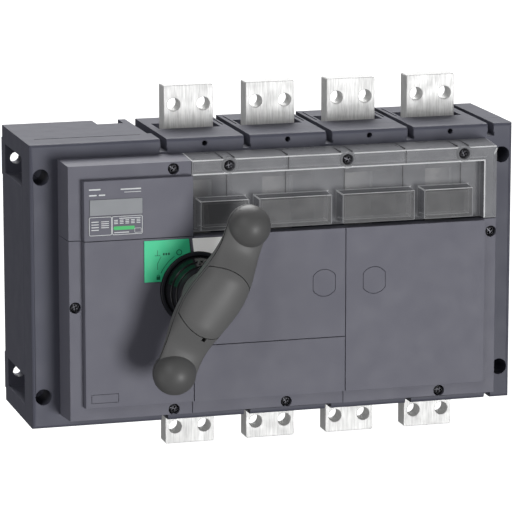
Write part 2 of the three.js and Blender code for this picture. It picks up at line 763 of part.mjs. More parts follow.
function mechanismPlate() {
  const { left, right, bottom, top, frontY, backY } = MECHANISM_PLATE;
  const sheet = box(left, right, frontY, backY, bottom, top);
  const pins = RAIL.pins.map((z) => rodY(RAIL.x, z, -127.5, backY - 1, RAIL.r, 14));
  const seat = box(-102, -84, -127, backY - 1, SPRING_SEAT.top - 3, SPRING_SEAT.top);
  const spindleHole = rodY(HUB.x, HUB.z, frontY - 1, backY + 1, 5.4, 20);
  const screwHoles = PLATE_SCREWS.map(([x, z]) => rodY(x, z, frontY - 1, backY + 1, 2.4, 8));
  return cut(join(sheet, pins, seat), spindleHole, screwHoles, leverWindow(frontY - 1, backY + 1));
}

const RACK = { pitchX: HUB.x - PINION.pitchR, back: -100, top: 42, bottom: -48, yFront: -126, yBack: -113 };

// The rack's toothed bar. A space sits level with the hub at rest, where a pinion tooth points at it.
function rackShape() {
  const pitch = (2 * Math.PI * PINION.pitchR) / PINION.teeth;
  const tip = RACK.pitchX + 1;
  const root = RACK.pitchX - 1.4;
  const points = [
    [RACK.back, RACK.top],
    [RACK.back, RACK.bottom],
    [root, RACK.bottom],
  ];
  for (let i = -2; i <= 4; i++) {
    const middle = HUB.z + (i + 0.5) * pitch;
    points.push([root, middle - 0.29 * pitch], [tip, middle - 0.1 * pitch]);
    points.push([tip, middle + 0.1 * pitch], [root, middle + 0.29 * pitch]);
  }
  points.push([root, RACK.top]);
  return outline(points.reverse());
}

function driveSlide() {
  const nose = leverNose();
  const jawGap = LEVER.noseR + 0.35;
  const bar = plate(rackShape(), RACK.yFront, RACK.yBack);
  const arm = box(-119, -99, -127, -116, nose.z - jawGap - 5, nose.z + jawGap + 5);
  const mouth = box(-120, -104, -128, -112, nose.z - jawGap, nose.z + jawGap);
  const slots = RAIL.pins.map((z) => {
    const low = z - RAIL.r - 0.5;
    const high = z + RAIL.travel + RAIL.r + 0.5;
    return box(RAIL.x - RAIL.r - 0.4, RAIL.x + RAIL.r + 0.4, -128, -112, low, high);
  });
  return cut(join(bar, arm), mouth, slots);
}

function driveSpring() {
  const { turns, coilR, wireR, clearance } = SPRING;
  const bottom = SPRING_SEAT.top + clearance;
  const height = RACK.bottom - clearance - bottom;
  const points = [];
  const steps = turns * 8;
  for (let i = 0; i <= steps; i++) {
    const angle = (2 * Math.PI * turns * i) / steps;
    const z = bottom + (height * i) / steps;
    points.push(
      new THREE.Vector3(SPRING_SEAT.x + coilR * Math.cos(angle), SPRING_SEAT.y + coilR * Math.sin(angle), z),
    );
  }
  const wire = new THREE.Shape();
  wire.absarc(0, 0, wireR, 0, 2 * Math.PI, false);
  const geometry = new THREE.ExtrudeGeometry(wire, {
    steps,
    curveSegments: 3,
    bevelEnabled: false,
    extrudePath: new THREE.CatmullRomCurve3(points),
  });
  return solid(geometry);
}

function leverNose() {
  return {
    y: SHAFT.y - LEVER.reach * Math.cos(LEVER.rise),
    z: SHAFT.z + LEVER.reach * Math.sin(LEVER.rise),
  };
}

function shaftLever() {
  const nose = leverNose();
  const lean = LEVER.rise;
  const at = (reach, half) => [
    SHAFT.y - reach * Math.cos(lean) + half * Math.sin(lean),
    SHAFT.z + reach * Math.sin(lean) + half * Math.cos(lean),
  ];
  const waist = LEVER.reach * 0.55;
  const arm = outline([
    at(0, 9),
    at(waist, 3.2),
    at(LEVER.reach, 3.2),
    at(LEVER.reach, -3.2),
    at(waist, -3.2),
    at(0, -9),
  ]);
  const { left, right } = LEVER;
  return cut(
    join(
      slab(arm, left, right),
      rodX(left, right, nose.y, nose.z, LEVER.noseR, 14),
      rodX(left, right, SHAFT.y, SHAFT.z, 12.5, 16),
    ),
    rodX(left - 1, right + 1, SHAFT.y, SHAFT.z, SHAFT.r + GAP, 16),
  );
}

function shaftBearing(x0, x1) {
  return cut(
    rodX(x0, x1, SHAFT.y, SHAFT.z, SHAFT.seatR - 0.4, 16),
    rodX(x0 - 1, x1 + 1, SHAFT.y, SHAFT.z, SHAFT.r + GAP, 16),
  );
}

function addMechanism() {
  addPart("drive_spindle", driveSpindle(), STEEL);
  addPart("mechanism_plate", mechanismPlate(), STEEL);
  addPart("drive_slide", driveSlide(), STEEL);
  addPart("drive_spring", driveSpring(), STEEL);
  addPart("pole_shaft", rodX(SHAFT.left, SHAFT.right, SHAFT.y, SHAFT.z, SHAFT.r, 16), STEEL);
  addPart("shaft_lever", shaftLever(), STEEL);
  const leftWall = MECHANISM_ROOM.right;
  const rightWall = POLES[3] + POLE_ROOM_HALF;
  addPart("shaft_bearing_left", shaftBearing(leftWall + 1, leftWall + 15), BLACK_PLASTIC);
  addPart("shaft_bearing_right", shaftBearing(rightWall + 1, SHAFT.right), BLACK_PLASTIC);
}

// ---- Poles ----
const CONDUCTOR = { half: 20, frontY: TERMINAL_FRONT_Y + 1, backY: TERMINAL_BACK_Y - 1, inner: 58 };
const CONTACT = { half: 13, tip: 74, faceY: TERMINAL_FRONT_Y - 3, thickness: 9 };
const CONTACT_PAD = { half: 14, bottom: 59, top: 76 };
const CHUTE = { half: 23, frontY: -97.5, backY: TERMINAL_FRONT_Y - 4, bottom: 80, root: 99, top: 104 };
const CHUTE_PLATES = 7;
const BRAID = { half: 10, thickness: 1.6, bottom: -70, bend: [-48, -50] };
const PAD_ROOT = 113; // where the terminal pad meets the thinner conductor inside the case

// A terminal pad outside the case, with two bolt holes, on a conductor that reaches into the pole.
function terminal(x, side, end, holeZ) {
  const chamfer = 1.2;
  const half = TERMINAL_HALF;
  const root = side * PAD_ROOT;
  const pad = outline([
    [x - half, root],
    [x + half, root],
    [x + half, end - side * chamfer],
    [x + half - chamfer, end],
    [x - half + chamfer, end],
    [x - half, end - side * chamfer],
  ]);
  const inner = side * CONDUCTOR.inner;
  const conductor = box(
    x - CONDUCTOR.half,
    x + CONDUCTOR.half,
    CONDUCTOR.frontY,
    CONDUCTOR.backY,
    Math.min(inner, root + side),
    Math.max(inner, root + side),
  );
  const holes = [-1, 1].map((way) =>
    rodY(x + way * TERMINAL_HOLE_X, holeZ, TERMINAL_FRONT_Y - 1, TERMINAL_BACK_Y + 1, TERMINAL_HOLE_R, 24),
  );
  return cut(join(plate(pad, TERMINAL_FRONT_Y, TERMINAL_BACK_Y), conductor), holes);
}

function topTerminal(x) {
  const { half, bottom, top } = CONTACT_PAD;
  const contactPad = box(x - half, x + half, CONTACT.faceY + GAP, CONDUCTOR.frontY + 1, bottom, top);
  return join(terminal(x, 1, TOP_TERMINAL.end, TOP_TERMINAL.holes), contactPad);
}

// The blade that the pole shaft swings forward, away from the top terminal.
function movingContact(x) {
  const { half, tip, faceY, thickness } = CONTACT;
  const blade = outline([
    [faceY, tip],
    [faceY - thickness, tip],
    [faceY - thickness, tip - 14],
    [SHAFT.y - 9, SHAFT.z + 8],
    [SHAFT.y + 9, SHAFT.z + 8],
    [faceY, tip - 18],
  ]);
  const heel = box(x - half, x + half, SHAFT.y + 8, SHAFT.y + 16, SHAFT.z - 6, SHAFT.z + 5);
  const hub = rodX(x - half, x + half, SHAFT.y, SHAFT.z, 12.5, 16);
  const bore = rodX(x - half - 1, x + half + 1, SHAFT.y, SHAFT.z, SHAFT.r + GAP, 16);
  return cut(join(slab(blade, x - half, x + half), hub, heel), bore);
}

// Steel plates in a frame above the contact tips, which split and cool the arc.
function arcChute(x) {
  const { half, frontY, backY, bottom, root, top } = CHUTE;
  const pitch = (backY - frontY) / (CHUTE_PLATES - 0.5);
  const points = [
    [backY, top],
    [frontY, top],
  ];
  for (let i = 0; i < CHUTE_PLATES; i++) {
    const y = frontY + i * pitch;
    points.push([y, bottom], [y + pitch / 2, bottom]);
    if (i < CHUTE_PLATES - 1) points.push([y + pitch / 2, root], [y + pitch, root]);
  }
  return slab(outline(points), x - half, x + half);
}

// A flexible strip that carries current from the bottom conductor to the heel of the blade.
function flexBraid(x) {
  const { half, thickness, bottom, bend } = BRAID;
  const startY = CONDUCTOR.frontY - 2;
  const endY = SHAFT.y + 12;
  const curve = new THREE.CubicBezierCurve(
    new THREE.Vector2(startY, bottom),
    new THREE.Vector2(startY - 2, bend[0]),
    new THREE.Vector2(endY, bend[1]),
    new THREE.Vector2(endY, SHAFT.z - 8),
  );
  const steps = 10;
  const near = [];
  const far = [];
  for (let i = 0; i <= steps; i++) {
    const at = curve.getPoint(i / steps);
    const along = curve.getTangent(i / steps);
    near.push([at.x - along.y * thickness, at.y + along.x * thickness]);
    far.push([at.x + along.y * thickness, at.y - along.x * thickness]);
  }
  return slab(outline([...near, ...far.reverse()].reverse()), x - half, x + half);
}

function addPoles() {
  POLES.forEach((x, i) => {
    const number = i + 1;
    addPart(`top_terminal_${number}`, topTerminal(x), TINNED_COPPER);
    addPart(
      `bottom_terminal_${number}`,
      terminal(x, -1, BOTTOM_TERMINAL.end, BOTTOM_TERMINAL.holes),
      TINNED_COPPER,
    );
    addPart(`moving_contact_${number}`, movingContact(x), COPPER);
    addPart(`arc_chute_${number}`, arcChute(x), ARC_PLATE);
    addPart(`flex_braid_${number}`, flexBraid(x), COPPER);
  });
}

addPart("rear_case", rearCase(), CASE_PLASTIC);
addPart("front_case", frontCase(), CASE_PLASTIC);
addCovers();
addPart("clear_shield", clearShield(), CLEAR_PLASTIC);
addScrews();
addBlanks();
addLabels();
addHandle();
addMechanism();
addPoles();

export default part;
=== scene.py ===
"""The looks of a four-pole air-break switch disconnector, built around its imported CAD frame."""

import json
import math

import bmesh
import bpy
from mathutils import Matrix, Vector


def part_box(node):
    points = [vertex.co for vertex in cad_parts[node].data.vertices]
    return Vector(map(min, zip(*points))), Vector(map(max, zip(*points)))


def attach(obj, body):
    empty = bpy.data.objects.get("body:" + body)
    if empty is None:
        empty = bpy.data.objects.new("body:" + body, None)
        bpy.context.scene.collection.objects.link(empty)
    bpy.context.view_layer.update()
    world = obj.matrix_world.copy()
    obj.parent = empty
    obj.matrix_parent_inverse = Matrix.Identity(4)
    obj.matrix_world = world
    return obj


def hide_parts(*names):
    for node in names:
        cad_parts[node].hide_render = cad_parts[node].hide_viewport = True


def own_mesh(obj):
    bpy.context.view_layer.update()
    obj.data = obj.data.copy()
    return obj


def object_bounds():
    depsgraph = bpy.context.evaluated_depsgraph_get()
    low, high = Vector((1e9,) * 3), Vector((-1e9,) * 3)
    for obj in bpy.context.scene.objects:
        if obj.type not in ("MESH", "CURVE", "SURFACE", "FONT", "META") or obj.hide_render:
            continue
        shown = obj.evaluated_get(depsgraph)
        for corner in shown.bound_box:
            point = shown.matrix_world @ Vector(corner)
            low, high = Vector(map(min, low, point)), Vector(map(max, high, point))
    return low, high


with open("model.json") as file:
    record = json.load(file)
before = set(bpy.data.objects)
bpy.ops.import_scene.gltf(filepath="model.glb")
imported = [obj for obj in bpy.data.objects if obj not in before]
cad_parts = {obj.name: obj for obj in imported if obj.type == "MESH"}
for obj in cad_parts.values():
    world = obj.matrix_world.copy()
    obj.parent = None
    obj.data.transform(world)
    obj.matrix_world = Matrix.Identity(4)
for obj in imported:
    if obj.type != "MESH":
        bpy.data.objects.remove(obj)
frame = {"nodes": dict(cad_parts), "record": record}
CAD_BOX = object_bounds()

# Blender works in metres. Sizes and places here are in millimetres, and angles in degrees.
MM = 0.001
POLES = range(1, 5)
CASE, LEVER, CAP = "case", "lever_handle", "padlock_slide"


def new_object(name, data):
    """A new object in the scene."""
    thing = bpy.data.objects.new(name, data)
    bpy.context.scene.collection.objects.link(thing)
    return thing


# ---- Camera and light ----
VIEW_TARGET = (-25.8, -144.5, 22.8)
VIEW_AZIMUTH = -16.04
VIEW_ELEVATION = 11.67
VIEW_DISTANCE = 2772.6
LENS = 240.1
CLIP_START = 100

# Name, azimuth, elevation, angle that the lamp's disc covers, and strength.
LAMPS = [
    ("key", 20, -10, 22, 2.0),
    ("sheen", -48, 34, 30, 0.6),
    ("side", -84, -12, 40, 0.35),
    ("back", 170, 48, 40, 3.0),
]
LAMP_DISTANCE = 3000
WORLD_STRENGTH = 0.15


def towards(azimuth, elevation):
    """Unit vector from the object to a place seen at that azimuth (0 is in front) and elevation."""
    across, up = math.radians(azimuth), math.radians(elevation)
    flat = math.cos(up)
    return Vector((math.sin(across) * flat, -math.cos(across) * flat, math.sin(up)))


def add_camera():
    data = bpy.data.cameras.new("camera")
    data.lens = LENS
    data.clip_start = CLIP_START * MM
    camera = new_object("camera", data)
    back = towards(VIEW_AZIMUTH, VIEW_ELEVATION)
    camera.location = Vector(VIEW_TARGET) * MM + back * (VIEW_DISTANCE * MM)
    camera.rotation_euler = (-back).to_track_quat("-Z", "Y").to_euler()
    bpy.context.scene.camera = camera


def add_sun(name, azimuth, elevation, spread, strength):
    data = bpy.data.lights.new(name, "SUN")
    data.angle = math.radians(spread)
    data.energy = strength
    lamp = new_object(name, data)
    direction = towards(azimuth, elevation)
    lamp.location = direction * LAMP_DISTANCE * MM
    lamp.rotation_euler = (-direction).to_track_quat("-Z", "Y").to_euler()


def add_lights():
    for lamp in LAMPS:
        add_sun(*lamp)
    world = bpy.data.worlds.new("studio")
    world.use_nodes = True
    background = world.node_tree.nodes["Background"]
    background.inputs["Color"].default_value = (1, 1, 1, 1)
    background.inputs["Strength"].default_value = WORLD_STRENGTH
    bpy.context.scene.world = world
    bpy.context.scene.view_settings.view_transform = "Standard"


# ---- Material nodes ----
# A shader's id_data is the node tree that it is in.
def tone(red, green, blue):
    """Linear colour of an sRGB colour given in 0 to 255."""
    def linear(level):
        share = level / 255
        return share / 12.92 if share < 0.04045 else ((share + 0.055) / 1.055) ** 2.4

    return linear(red), linear(green), linear(blue)


def scaled(color, factor):
    return tuple(min(1, channel * factor) for channel in color)


def start_material(name, color, roughness, metallic=0.0):
    material = bpy.data.materials.new(name)
    material.use_nodes = True
    shader = material.node_tree.nodes["Principled BSDF"]
    shader.inputs["Base Color"].default_value = (*color, 1)
    shader.inputs["Roughness"].default_value = roughness
    shader.inputs["Metallic"].default_value = metallic
    material.diffuse_color = (*color, 1)
    return material, shader


def add_glow(shader, color, strength):
    shader.inputs["Emission Color"].default_value = (*color, 1)
    shader.inputs["Emission Strength"].default_value = strength


def noise_on(shader, scale, detail, stretch=(1, 1, 1)):
    """A noise value from 0 to 1 over the surface, `scale` bumps to the metre."""
    tree = shader.id_data
    place = tree.nodes.new("ShaderNodeTexCoord")
    mapping = tree.nodes.new("ShaderNodeMapping")
    mapping.inputs["Scale"].default_value = stretch
    texture = tree.nodes.new("ShaderNodeTexNoise")
    texture.inputs["Scale"].default_value = scale
    texture.inputs["Detail"].default_value = detail
    tree.links.new(place.outputs["Object"], mapping.inputs["Vector"])
    tree.links.new(mapping.outputs["Vector"], texture.inputs["Vector"])
    return texture.outputs["Fac"]


def ranged(shader, value, low, high, from_low=0.25, from_high=0.75):
    """The value taken from one range to another. Most of a noise lies between 0.25 and 0.75."""
    tree = shader.id_data
    node = tree.nodes.new("ShaderNodeMapRange")
    tree.links.new(value, node.inputs["Value"])
    for socket, number in zip(node.inputs[1:5], (from_low, from_high, low, high)):
        socket.default_value = number
    return node.outputs["Result"]


def vary_color(shader, value, color, darkest, lightest):
    """Lets the base colour drift with the value, between two multiples of the colour."""
    tree = shader.id_data
    node = tree.nodes.new("ShaderNodeMix")
    node.data_type = "RGBA"
    sockets = [socket for socket in node.inputs if socket.type == "RGBA"]
    for socket, factor in zip(sockets, (darkest, lightest)):
        socket.default_value = (*scaled(color, factor), 1)
    tree.links.new(value, node.inputs[0])
    shade = next(socket for socket in node.outputs if socket.type == "RGBA")
    tree.links.new(shade, shader.inputs["Base Color"])


def vary_number(shader, name, value, low, high):
    shader.id_data.links.new(ranged(shader, value, low, high), shader.inputs[name])


def add_bump(shader, height, depth, strength=1.0):
    """A bump of the normals; the depth is in metres."""
    tree = shader.id_data
    node = tree.nodes.new("ShaderNodeBump")
    node.inputs["Distance"].default_value = depth
    node.inputs["Strength"].default_value = strength
    tree.links.new(height, node.inputs["Height"])
    tree.links.new(node.outputs["Normal"], shader.inputs["Normal"])


# ---- Materials ----
# Depths of bumps, in metres.
PLASTIC_GRAIN_DEPTH = 0.00001
SCRATCH_DEPTH = 0.00001
TIN_SCRATCH_DEPTH = 0.00002
BRAID_DEPTH = 0.0001
CLEAR_WAVE_DEPTH = 0.00005
INK_GRAIN_DEPTH = 0.000008

PLASTIC_MOTTLE = 0.05
FILM_SPECULAR = 0.12
# Painted light: the clear plastic glows this much, to lift the faces that no lamp reaches.
CLEAR_PAINTED_LIGHT = 0.15
CLEAR_WAVE_STRENGTH = 0.2
FLOOR_GREY = 0.3
FLOOR_MOTTLE = 1 / 30


def moulded_plastic(name, color, roughness, grain=1400, specular=0.2):
    """Moulded plastic: a fine spark-eroded grain, and a slow drift of colour and gloss."""
    material, shader = start_material(name, color, roughness)
    shader.inputs["Specular IOR Level"].default_value = specular
    drift = noise_on(shader, scale=14, detail=4)
    vary_color(shader, drift, color, 1 - PLASTIC_MOTTLE, 1 + PLASTIC_MOTTLE)
    cloud = noise_on(shader, scale=60, detail=3)
    vary_number(shader, "Roughness", cloud, roughness - 0.05, roughness + 0.05)
    add_bump(shader, noise_on(shader, scale=grain, detail=2), PLASTIC_GRAIN_DEPTH)
    return material


def brushed_metal(name, color, roughness, stretch, depth=SCRATCH_DEPTH, streak=0.12, metallic=1.0, glow=0.0):
    """Metal with fine scratches along the direction in which `stretch` is smallest."""
    material, shader = start_material(name, color, roughness, metallic)
    # A `glow` is painted light that lifts faces the lamps leave dark.
    add_glow(shader, color, glow)
    scratches = noise_on(shader, scale=1, detail=4, stretch=stretch)
    contrast = ranged(shader, scratches, 0, 1, from_low=0.3, from_high=0.7)
    vary_color(shader, contrast, color, 1 - streak, 1 + streak / 3)
    cloud = noise_on(shader, scale=90, detail=4)
    vary_number(shader, "Roughness", cloud, roughness - 0.06, roughness + 0.08)
    add_bump(shader, scratches, depth)
    return material


def clear_plastic(name, color, cover, roughness):
    """Clear moulding as a thin tinted skin; `cover` is the share of what lies behind that it hides. It glows
    faintly: painted light, so that faces no lamp reaches are not dark.
    """
    material, shader = start_material(name, color, roughness)
    shader.inputs["Specular IOR Level"].default_value = FILM_SPECULAR
    add_glow(shader, color, CLEAR_PAINTED_LIGHT)
    vary_color(shader, noise_on(shader, scale=22, detail=3), color, 0.9, 1.1)
    haze = noise_on(shader, scale=45, detail=2)
    vary_number(shader, "Alpha", haze, cover - 0.05, cover + 0.05)
    cloud = noise_on(shader, scale=120, detail=3)
    vary_number(shader, "Roughness", cloud, roughness - 0.05, roughness + 0.08)
    wave = noise_on(shader, scale=20, detail=1)
    add_bump(shader, wave, CLEAR_WAVE_DEPTH, CLEAR_WAVE_STRENGTH)
    return material


def printed_plate(name, color, roughness=0.35, glow=0.0):
    """A printed film: a faint orange-peel gloss and a slight unevenness of the ink."""
    material, shader = start_material(name, color, roughness)
    shader.inputs["Specular IOR Level"].default_value = FILM_SPECULAR
    # A `glow` is painted light: an even glow that lifts a plate the lamps leave too dark.
    add_glow(shader, color, glow)
    vary_color(shader, noise_on(shader, scale=40, detail=3), color, 0.97, 1.02)
    cloud = noise_on(shader, scale=150, detail=3)
    vary_number(shader, "Roughness", cloud, roughness - 0.04, roughness + 0.06)
    add_bump(shader, noise_on(shader, scale=500, detail=2), INK_GRAIN_DEPTH)
    return material


def floor_material():
    """Pale floor that glows white, as an overlit studio floor does."""
    grey = (FLOOR_GREY, FLOOR_GREY, FLOOR_GREY)
    material, shader = start_material("studio_floor", grey, 0.9)
    add_glow(shader, (1, 1, 1), 1.0)
    drift = noise_on(shader, scale=3, detail=2)
    vary_color(shader, drift, grey, 1 - FLOOR_MOTTLE, 1 + FLOOR_MOTTLE)
    return material


MATERIALS = {
    "case": moulded_plastic("case_moulding", tone(85, 86, 98), 0.5),
    "cover": moulded_plastic("cover_moulding", tone(106, 106, 117), 0.5),
    "handle": moulded_plastic("handle_moulding", tone(100, 100, 100), 0.52, grain=2200, specular=0.42),
    # Painted shade: the balls are a darker copy of the handle plastic, for the duller light on them.
    "knob": moulded_plastic("knob_painted_shade", tone(86, 86, 86), 0.48, grain=2200, specular=0.42),
    "black": moulded_plastic("black_moulding", tone(24, 24, 27), 0.22, grain=2000, specular=0.5),
    "bezel": moulded_plastic("bezel_moulding", tone(44, 45, 51), 0.35, grain=2000, specular=0.3),
    # Painted shade: matte black on faces inside the lever's joints and the cap's bed, and on the case's joint
    # line, where only shade falls.
    "seam": moulded_plastic("seam_shadow", tone(12, 12, 12), 0.9, grain=2000, specular=0.0),
    "clear": clear_plastic("clear_moulding", tone(126, 127, 131), 0.55, 0.3),
    # Lit and shaded copies of the clear plastic: painted shade on the window fronts, and painted highlights
    # on the bevels.
    "clear_window_painted_shade": clear_plastic("clear_window_painted_shade", tone(70, 70, 71), 0.48, 0.25),
    "clear_painted_highlight": clear_plastic("clear_painted_highlight", tone(206, 207, 209), 0.85, 0.3),
    "clear_painted_dim_highlight": clear_plastic("clear_painted_dim_highlight", tone(150, 151, 154), 0.6, 0.3),
    # Painted shade: a dark copy of the clear plastic for the lines of the webs.
    "clear_rib_painted_shade": clear_plastic("clear_rib_painted_shade", tone(64, 64, 67), 0.8, 0.3),
    # Painted light: the white dial plate glows, to lift it out of the handle's shadow.
    "white": printed_plate("white_plate_painted_light", tone(250, 250, 248), glow=0.15),
    "green": printed_plate("green_plate", tone(70, 216, 158)),
    "window": printed_plate("window_field", tone(144, 147, 151)),
    "strip_green": printed_plate("strip_green", tone(74, 196, 112)),
    "green_ink": printed_plate("green_ink", tone(20, 110, 75)),
    "white_ink": printed_plate("white_ink", tone(222, 225, 226), 0.5),
    # Painted light: the tin glows a little, to lift the terminals' shaded sides and bolt holes.
    "tin": brushed_metal(
        "tin_plate_painted_light", tone(206, 206, 205), 0.5, (1100, 1100, 90), TIN_SCRATCH_DEPTH,
        streak=0.3, metallic=0.35, glow=0.14,
    ),
    "contact": brushed_metal("silvered_contact", tone(168, 166, 162), 0.4, (1500, 60, 1500)),
    "braid": brushed_metal("copper_braid", tone(176, 112, 76), 0.45, (900, 900, 2200), BRAID_DEPTH),
    "steel": brushed_metal("zinc_steel", tone(176, 178, 182), 0.3, (700, 700, 700)),
    "black_steel": brushed_metal("blackened_screw", tone(52, 52, 55), 0.34, (1200, 1200, 1200)),
    "arc": brushed_metal("arc_steel", tone(62, 60, 58), 0.5, (60, 900, 900)),
}


# ---- Mesh helpers ----
SAME_POINT = 0.00001  # metres
SHEET_SAME_POINT = 0.000001  # metres


def set_finishes(piece, *materials):
    """Gives the piece these materials, in the order of its faces' material numbers."""
    piece.data.materials.clear()
    for material in materials:
        piece.data.materials.append(MATERIALS[material])


def from_bmesh(name, bm, material=None):
    mesh = bpy.data.meshes.new(name)
    bmesh.ops.recalc_face_normals(bm, faces=bm.faces)
    bm.to_mesh(mesh)
    bm.free()
    piece = new_object(name, mesh)
    if material:
        set_finishes(piece, material)
    return piece


def final_mesh(piece):
    """A new mesh with the piece's modifiers in it."""
    graph = bpy.context.evaluated_depsgraph_get()
    return bpy.data.meshes.new_from_object(piece.evaluated_get(graph))


def baked(piece):
    """The piece with its modifiers applied."""
    mesh = final_mesh(piece)
    piece.modifiers.clear()
    piece.data = mesh
    return piece


def copy_of(piece):
    return new_object("copy", piece.data.copy())


def drop(*pieces):
    for piece in pieces:
        bpy.data.objects.remove(piece)


def boolean(piece, tool, operation="DIFFERENCE"):
    """Cuts or joins the tool and removes it."""
    modifier = piece.modifiers.new("boolean", "BOOLEAN")
    modifier.operation = operation
    modifier.solver = "EXACT"
    modifier.object = tool
    baked(piece)
    drop(tool)
    return piece


def joined(name, pieces, material):
    """Several separate shapes as one piece."""
    bm = bmesh.new()
    for piece in pieces:
        bm.from_mesh(piece.data)
    drop(*pieces)
    return from_bmesh(name, bm, material)


def smooth(piece, angle=32):
    """Smooth shading, with edges that turn by more than the angle kept sharp."""
    mesh = piece.data
    mesh.polygons.foreach_set("use_smooth", [True] * len(mesh.polygons))
    mesh.set_sharp_from_angle(angle=math.radians(angle))
    normals = piece.modifiers.new("normals", "WEIGHTED_NORMAL")
    normals.keep_sharp = True
    normals.weight = 100
    return piece


def add_bevel(piece, width, segments, angle):
    """A modifier that eases the edges that turn by more than the angle."""
    modifier = piece.modifiers.new("bevel", "BEVEL")
    modifier.width = width * MM
    modifier.segments = segments
    modifier.limit_method = "ANGLE"
    modifier.angle_limit = math.radians(angle)
    return modifier


def bevelled(piece, width, segments=2, angle=32, edge_slot=-1):
    """Eases the edges. `edge_slot` is the new faces' material number, and -1 takes a neighbour's."""
    modifier = add_bevel(piece, width, segments, angle)
    modifier.material = edge_slot
    modifier.use_clamp_overlap = False
    return baked(piece)


# ---- Basic shapes ----
def block(name, low, high, material=None):
    """A box between two corners."""
    bm = bmesh.new()
    bmesh.ops.create_cube(bm, size=1)
    low, high = Vector(low) * MM, Vector(high) * MM
    size = high - low
    for vertex in bm.verts:
        vertex.co = Vector(low[i] + (vertex.co[i] + 0.5) * size[i] for i in range(3))
    return from_bmesh(name, bm, material)


def new_ring(bm, points):
    return [bm.verts.new(Vector(point) * MM) for point in points]


def add_band(bm, one, two):
    """Faces between two rings of vertices, where a ring may be a single point."""
    sides = max(len(one), len(two))
    if sides == 1:
        return
    for i in range(sides):
        j = (i + 1) % sides
        corners = (one[i % len(one)], one[j % len(one)], two[j % len(two)], two[i % len(two)])
        bm.faces.new(list(dict.fromkeys(corners)))


def lofted(name, outlines, material=None):
    """A solid through outlines that have the same number of points, with flat ends."""
    bm = bmesh.new()
    rings = [new_ring(bm, outline) for outline in outlines]
    for one, two in zip(rings, rings[1:]):
        add_band(bm, one, two)
    bm.faces.new(rings[0][::-1])
    bm.faces.new(rings[-1])
    return from_bmesh(name, bm, material)


def arc_points(centre, radius, start, end, steps):
    """Points in (x, z) on an arc."""
    turns = [math.radians(start + (end - start) * i / steps) for i in range(steps + 1)]
    return [(centre[0] + radius * math.cos(turn), centre[1] + radius * math.sin(turn)) for turn in turns]


def circle(centre, radius, steps=48):
    return arc_points(centre, radius, 0, 360, steps)[:-1]


def rounded_rectangle(x0, x1, z0, z1, radius, steps=5):
    corners = [
        ((x1 - radius, z0 + radius), -90),
        ((x1 - radius, z1 - radius), 0),
        ((x0 + radius, z1 - radius), 90),
        ((x0 + radius, z0 + radius), 180),
    ]
    arcs = [arc_points(centre, radius, start, start + 90, steps) for centre, start in corners]
    return sum(arcs, [])


def turned(name, centre, profile, sides, material=None):
    """A solid turned about an axis parallel to Y. The profile holds (radius, y), front to back."""
    bm = bmesh.new()
    rings = []
    for radius, y in profile:
        outline = circle(centre, radius, sides) if radius else [centre]
        rings.append(new_ring(bm, [(x, y, z) for x, z in outline]))
    for one, two in zip(rings, rings[1:] + rings[:1]):
        add_band(bm, one, two)
    return from_bmesh(name, bm, material)


def outline_curve(name, outlines, thickness, bevel):
    """A filled flat curve of that thickness, in X and Y, with rounded edges."""
    curve = bpy.data.curves.new(name, "CURVE")
    curve.dimensions = "2D"
    curve.fill_mode = "BOTH"
    curve.extrude = thickness / 2 * MM - bevel * MM
    curve.bevel_depth = bevel * MM
    curve.bevel_resolution = 2
    curve.offset = -bevel * MM
    for points in outlines:
        spline = curve.splines.new("POLY")
        spline.points.add(len(points) - 1)
        for point, (x, z) in zip(spline.points, points):
            point.co = (x * MM, z * MM, 0, 1)
        spline.use_cyclic_u = True
    return curve


def cut_sheet(name, outlines, front, back, material=None, bevel=0.0):
    """A flat piece between two Y planes, from an outer outline and those of its holes, in (x, z)."""
    flat = new_object(name, outline_curve(name, outlines, back - front, bevel))
    mesh = final_mesh(flat)
    drop(flat)
    middle = Matrix.Translation((0, (front + back) / 2 * MM, 0))
    mesh.transform(middle @ Matrix.Rotation(math.pi / 2, 4, "X"))
    bm = bmesh.new()
    bm.from_mesh(mesh)
    bmesh.ops.remove_doubles(bm, verts=bm.verts, dist=SHEET_SAME_POINT)
    bpy.data.meshes.remove(mesh)
    return from_bmesh(name, bm, material)


# ---- Pieces and CAD nodes ----
SKIN_BEVEL_ANGLE = 40
SKIN_SMOOTH_ANGLE = 25
DRESS_ANGLE = 35
FLAT_ANGLE = 0.6


def placed(piece, body, slot, *nodes):
    """Attaches the piece to the body it moves with and hides the CAD nodes that it stands for. Its finish,
    `slot`, is not used.
    """
    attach(piece, body)
    if nodes:
        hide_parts(*nodes)


def box_of(node):
    """Lowest and highest corner of a CAD node in millimetres."""
    low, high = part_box(node)
    return low / MM, high / MM


def middle_of(node):
    low, high = box_of(node)
    return (low + high) / 2


def dress(node, material, bevel):
    """Gives a CAD node its material and softens its edges, without touching its mesh."""
    piece = frame["nodes"][node]
    set_finishes(piece, material)
    weld = piece.modifiers.new("weld", "WELD")
    weld.merge_threshold = SAME_POINT
    add_bevel(piece, bevel, segments=2, angle=DRESS_ANGLE)


def moulding_from(node, name, material):
    """A copy of the CAD shape with its flat faces cleaned up."""
    bm = bmesh.new()
    bm.from_mesh(frame["nodes"][node].data)
    bmesh.ops.remove_doubles(bm, verts=bm.verts, dist=SAME_POINT)
    bmesh.ops.dissolve_limit(bm, angle_limit=math.radians(FLAT_ANGLE), verts=bm.verts, edges=bm.edges)
    bmesh.ops.triangulate(bm, faces=bm.faces, quad_method="BEAUTY", ngon_method="BEAUTY")
    return from_bmesh(name, bm, material)


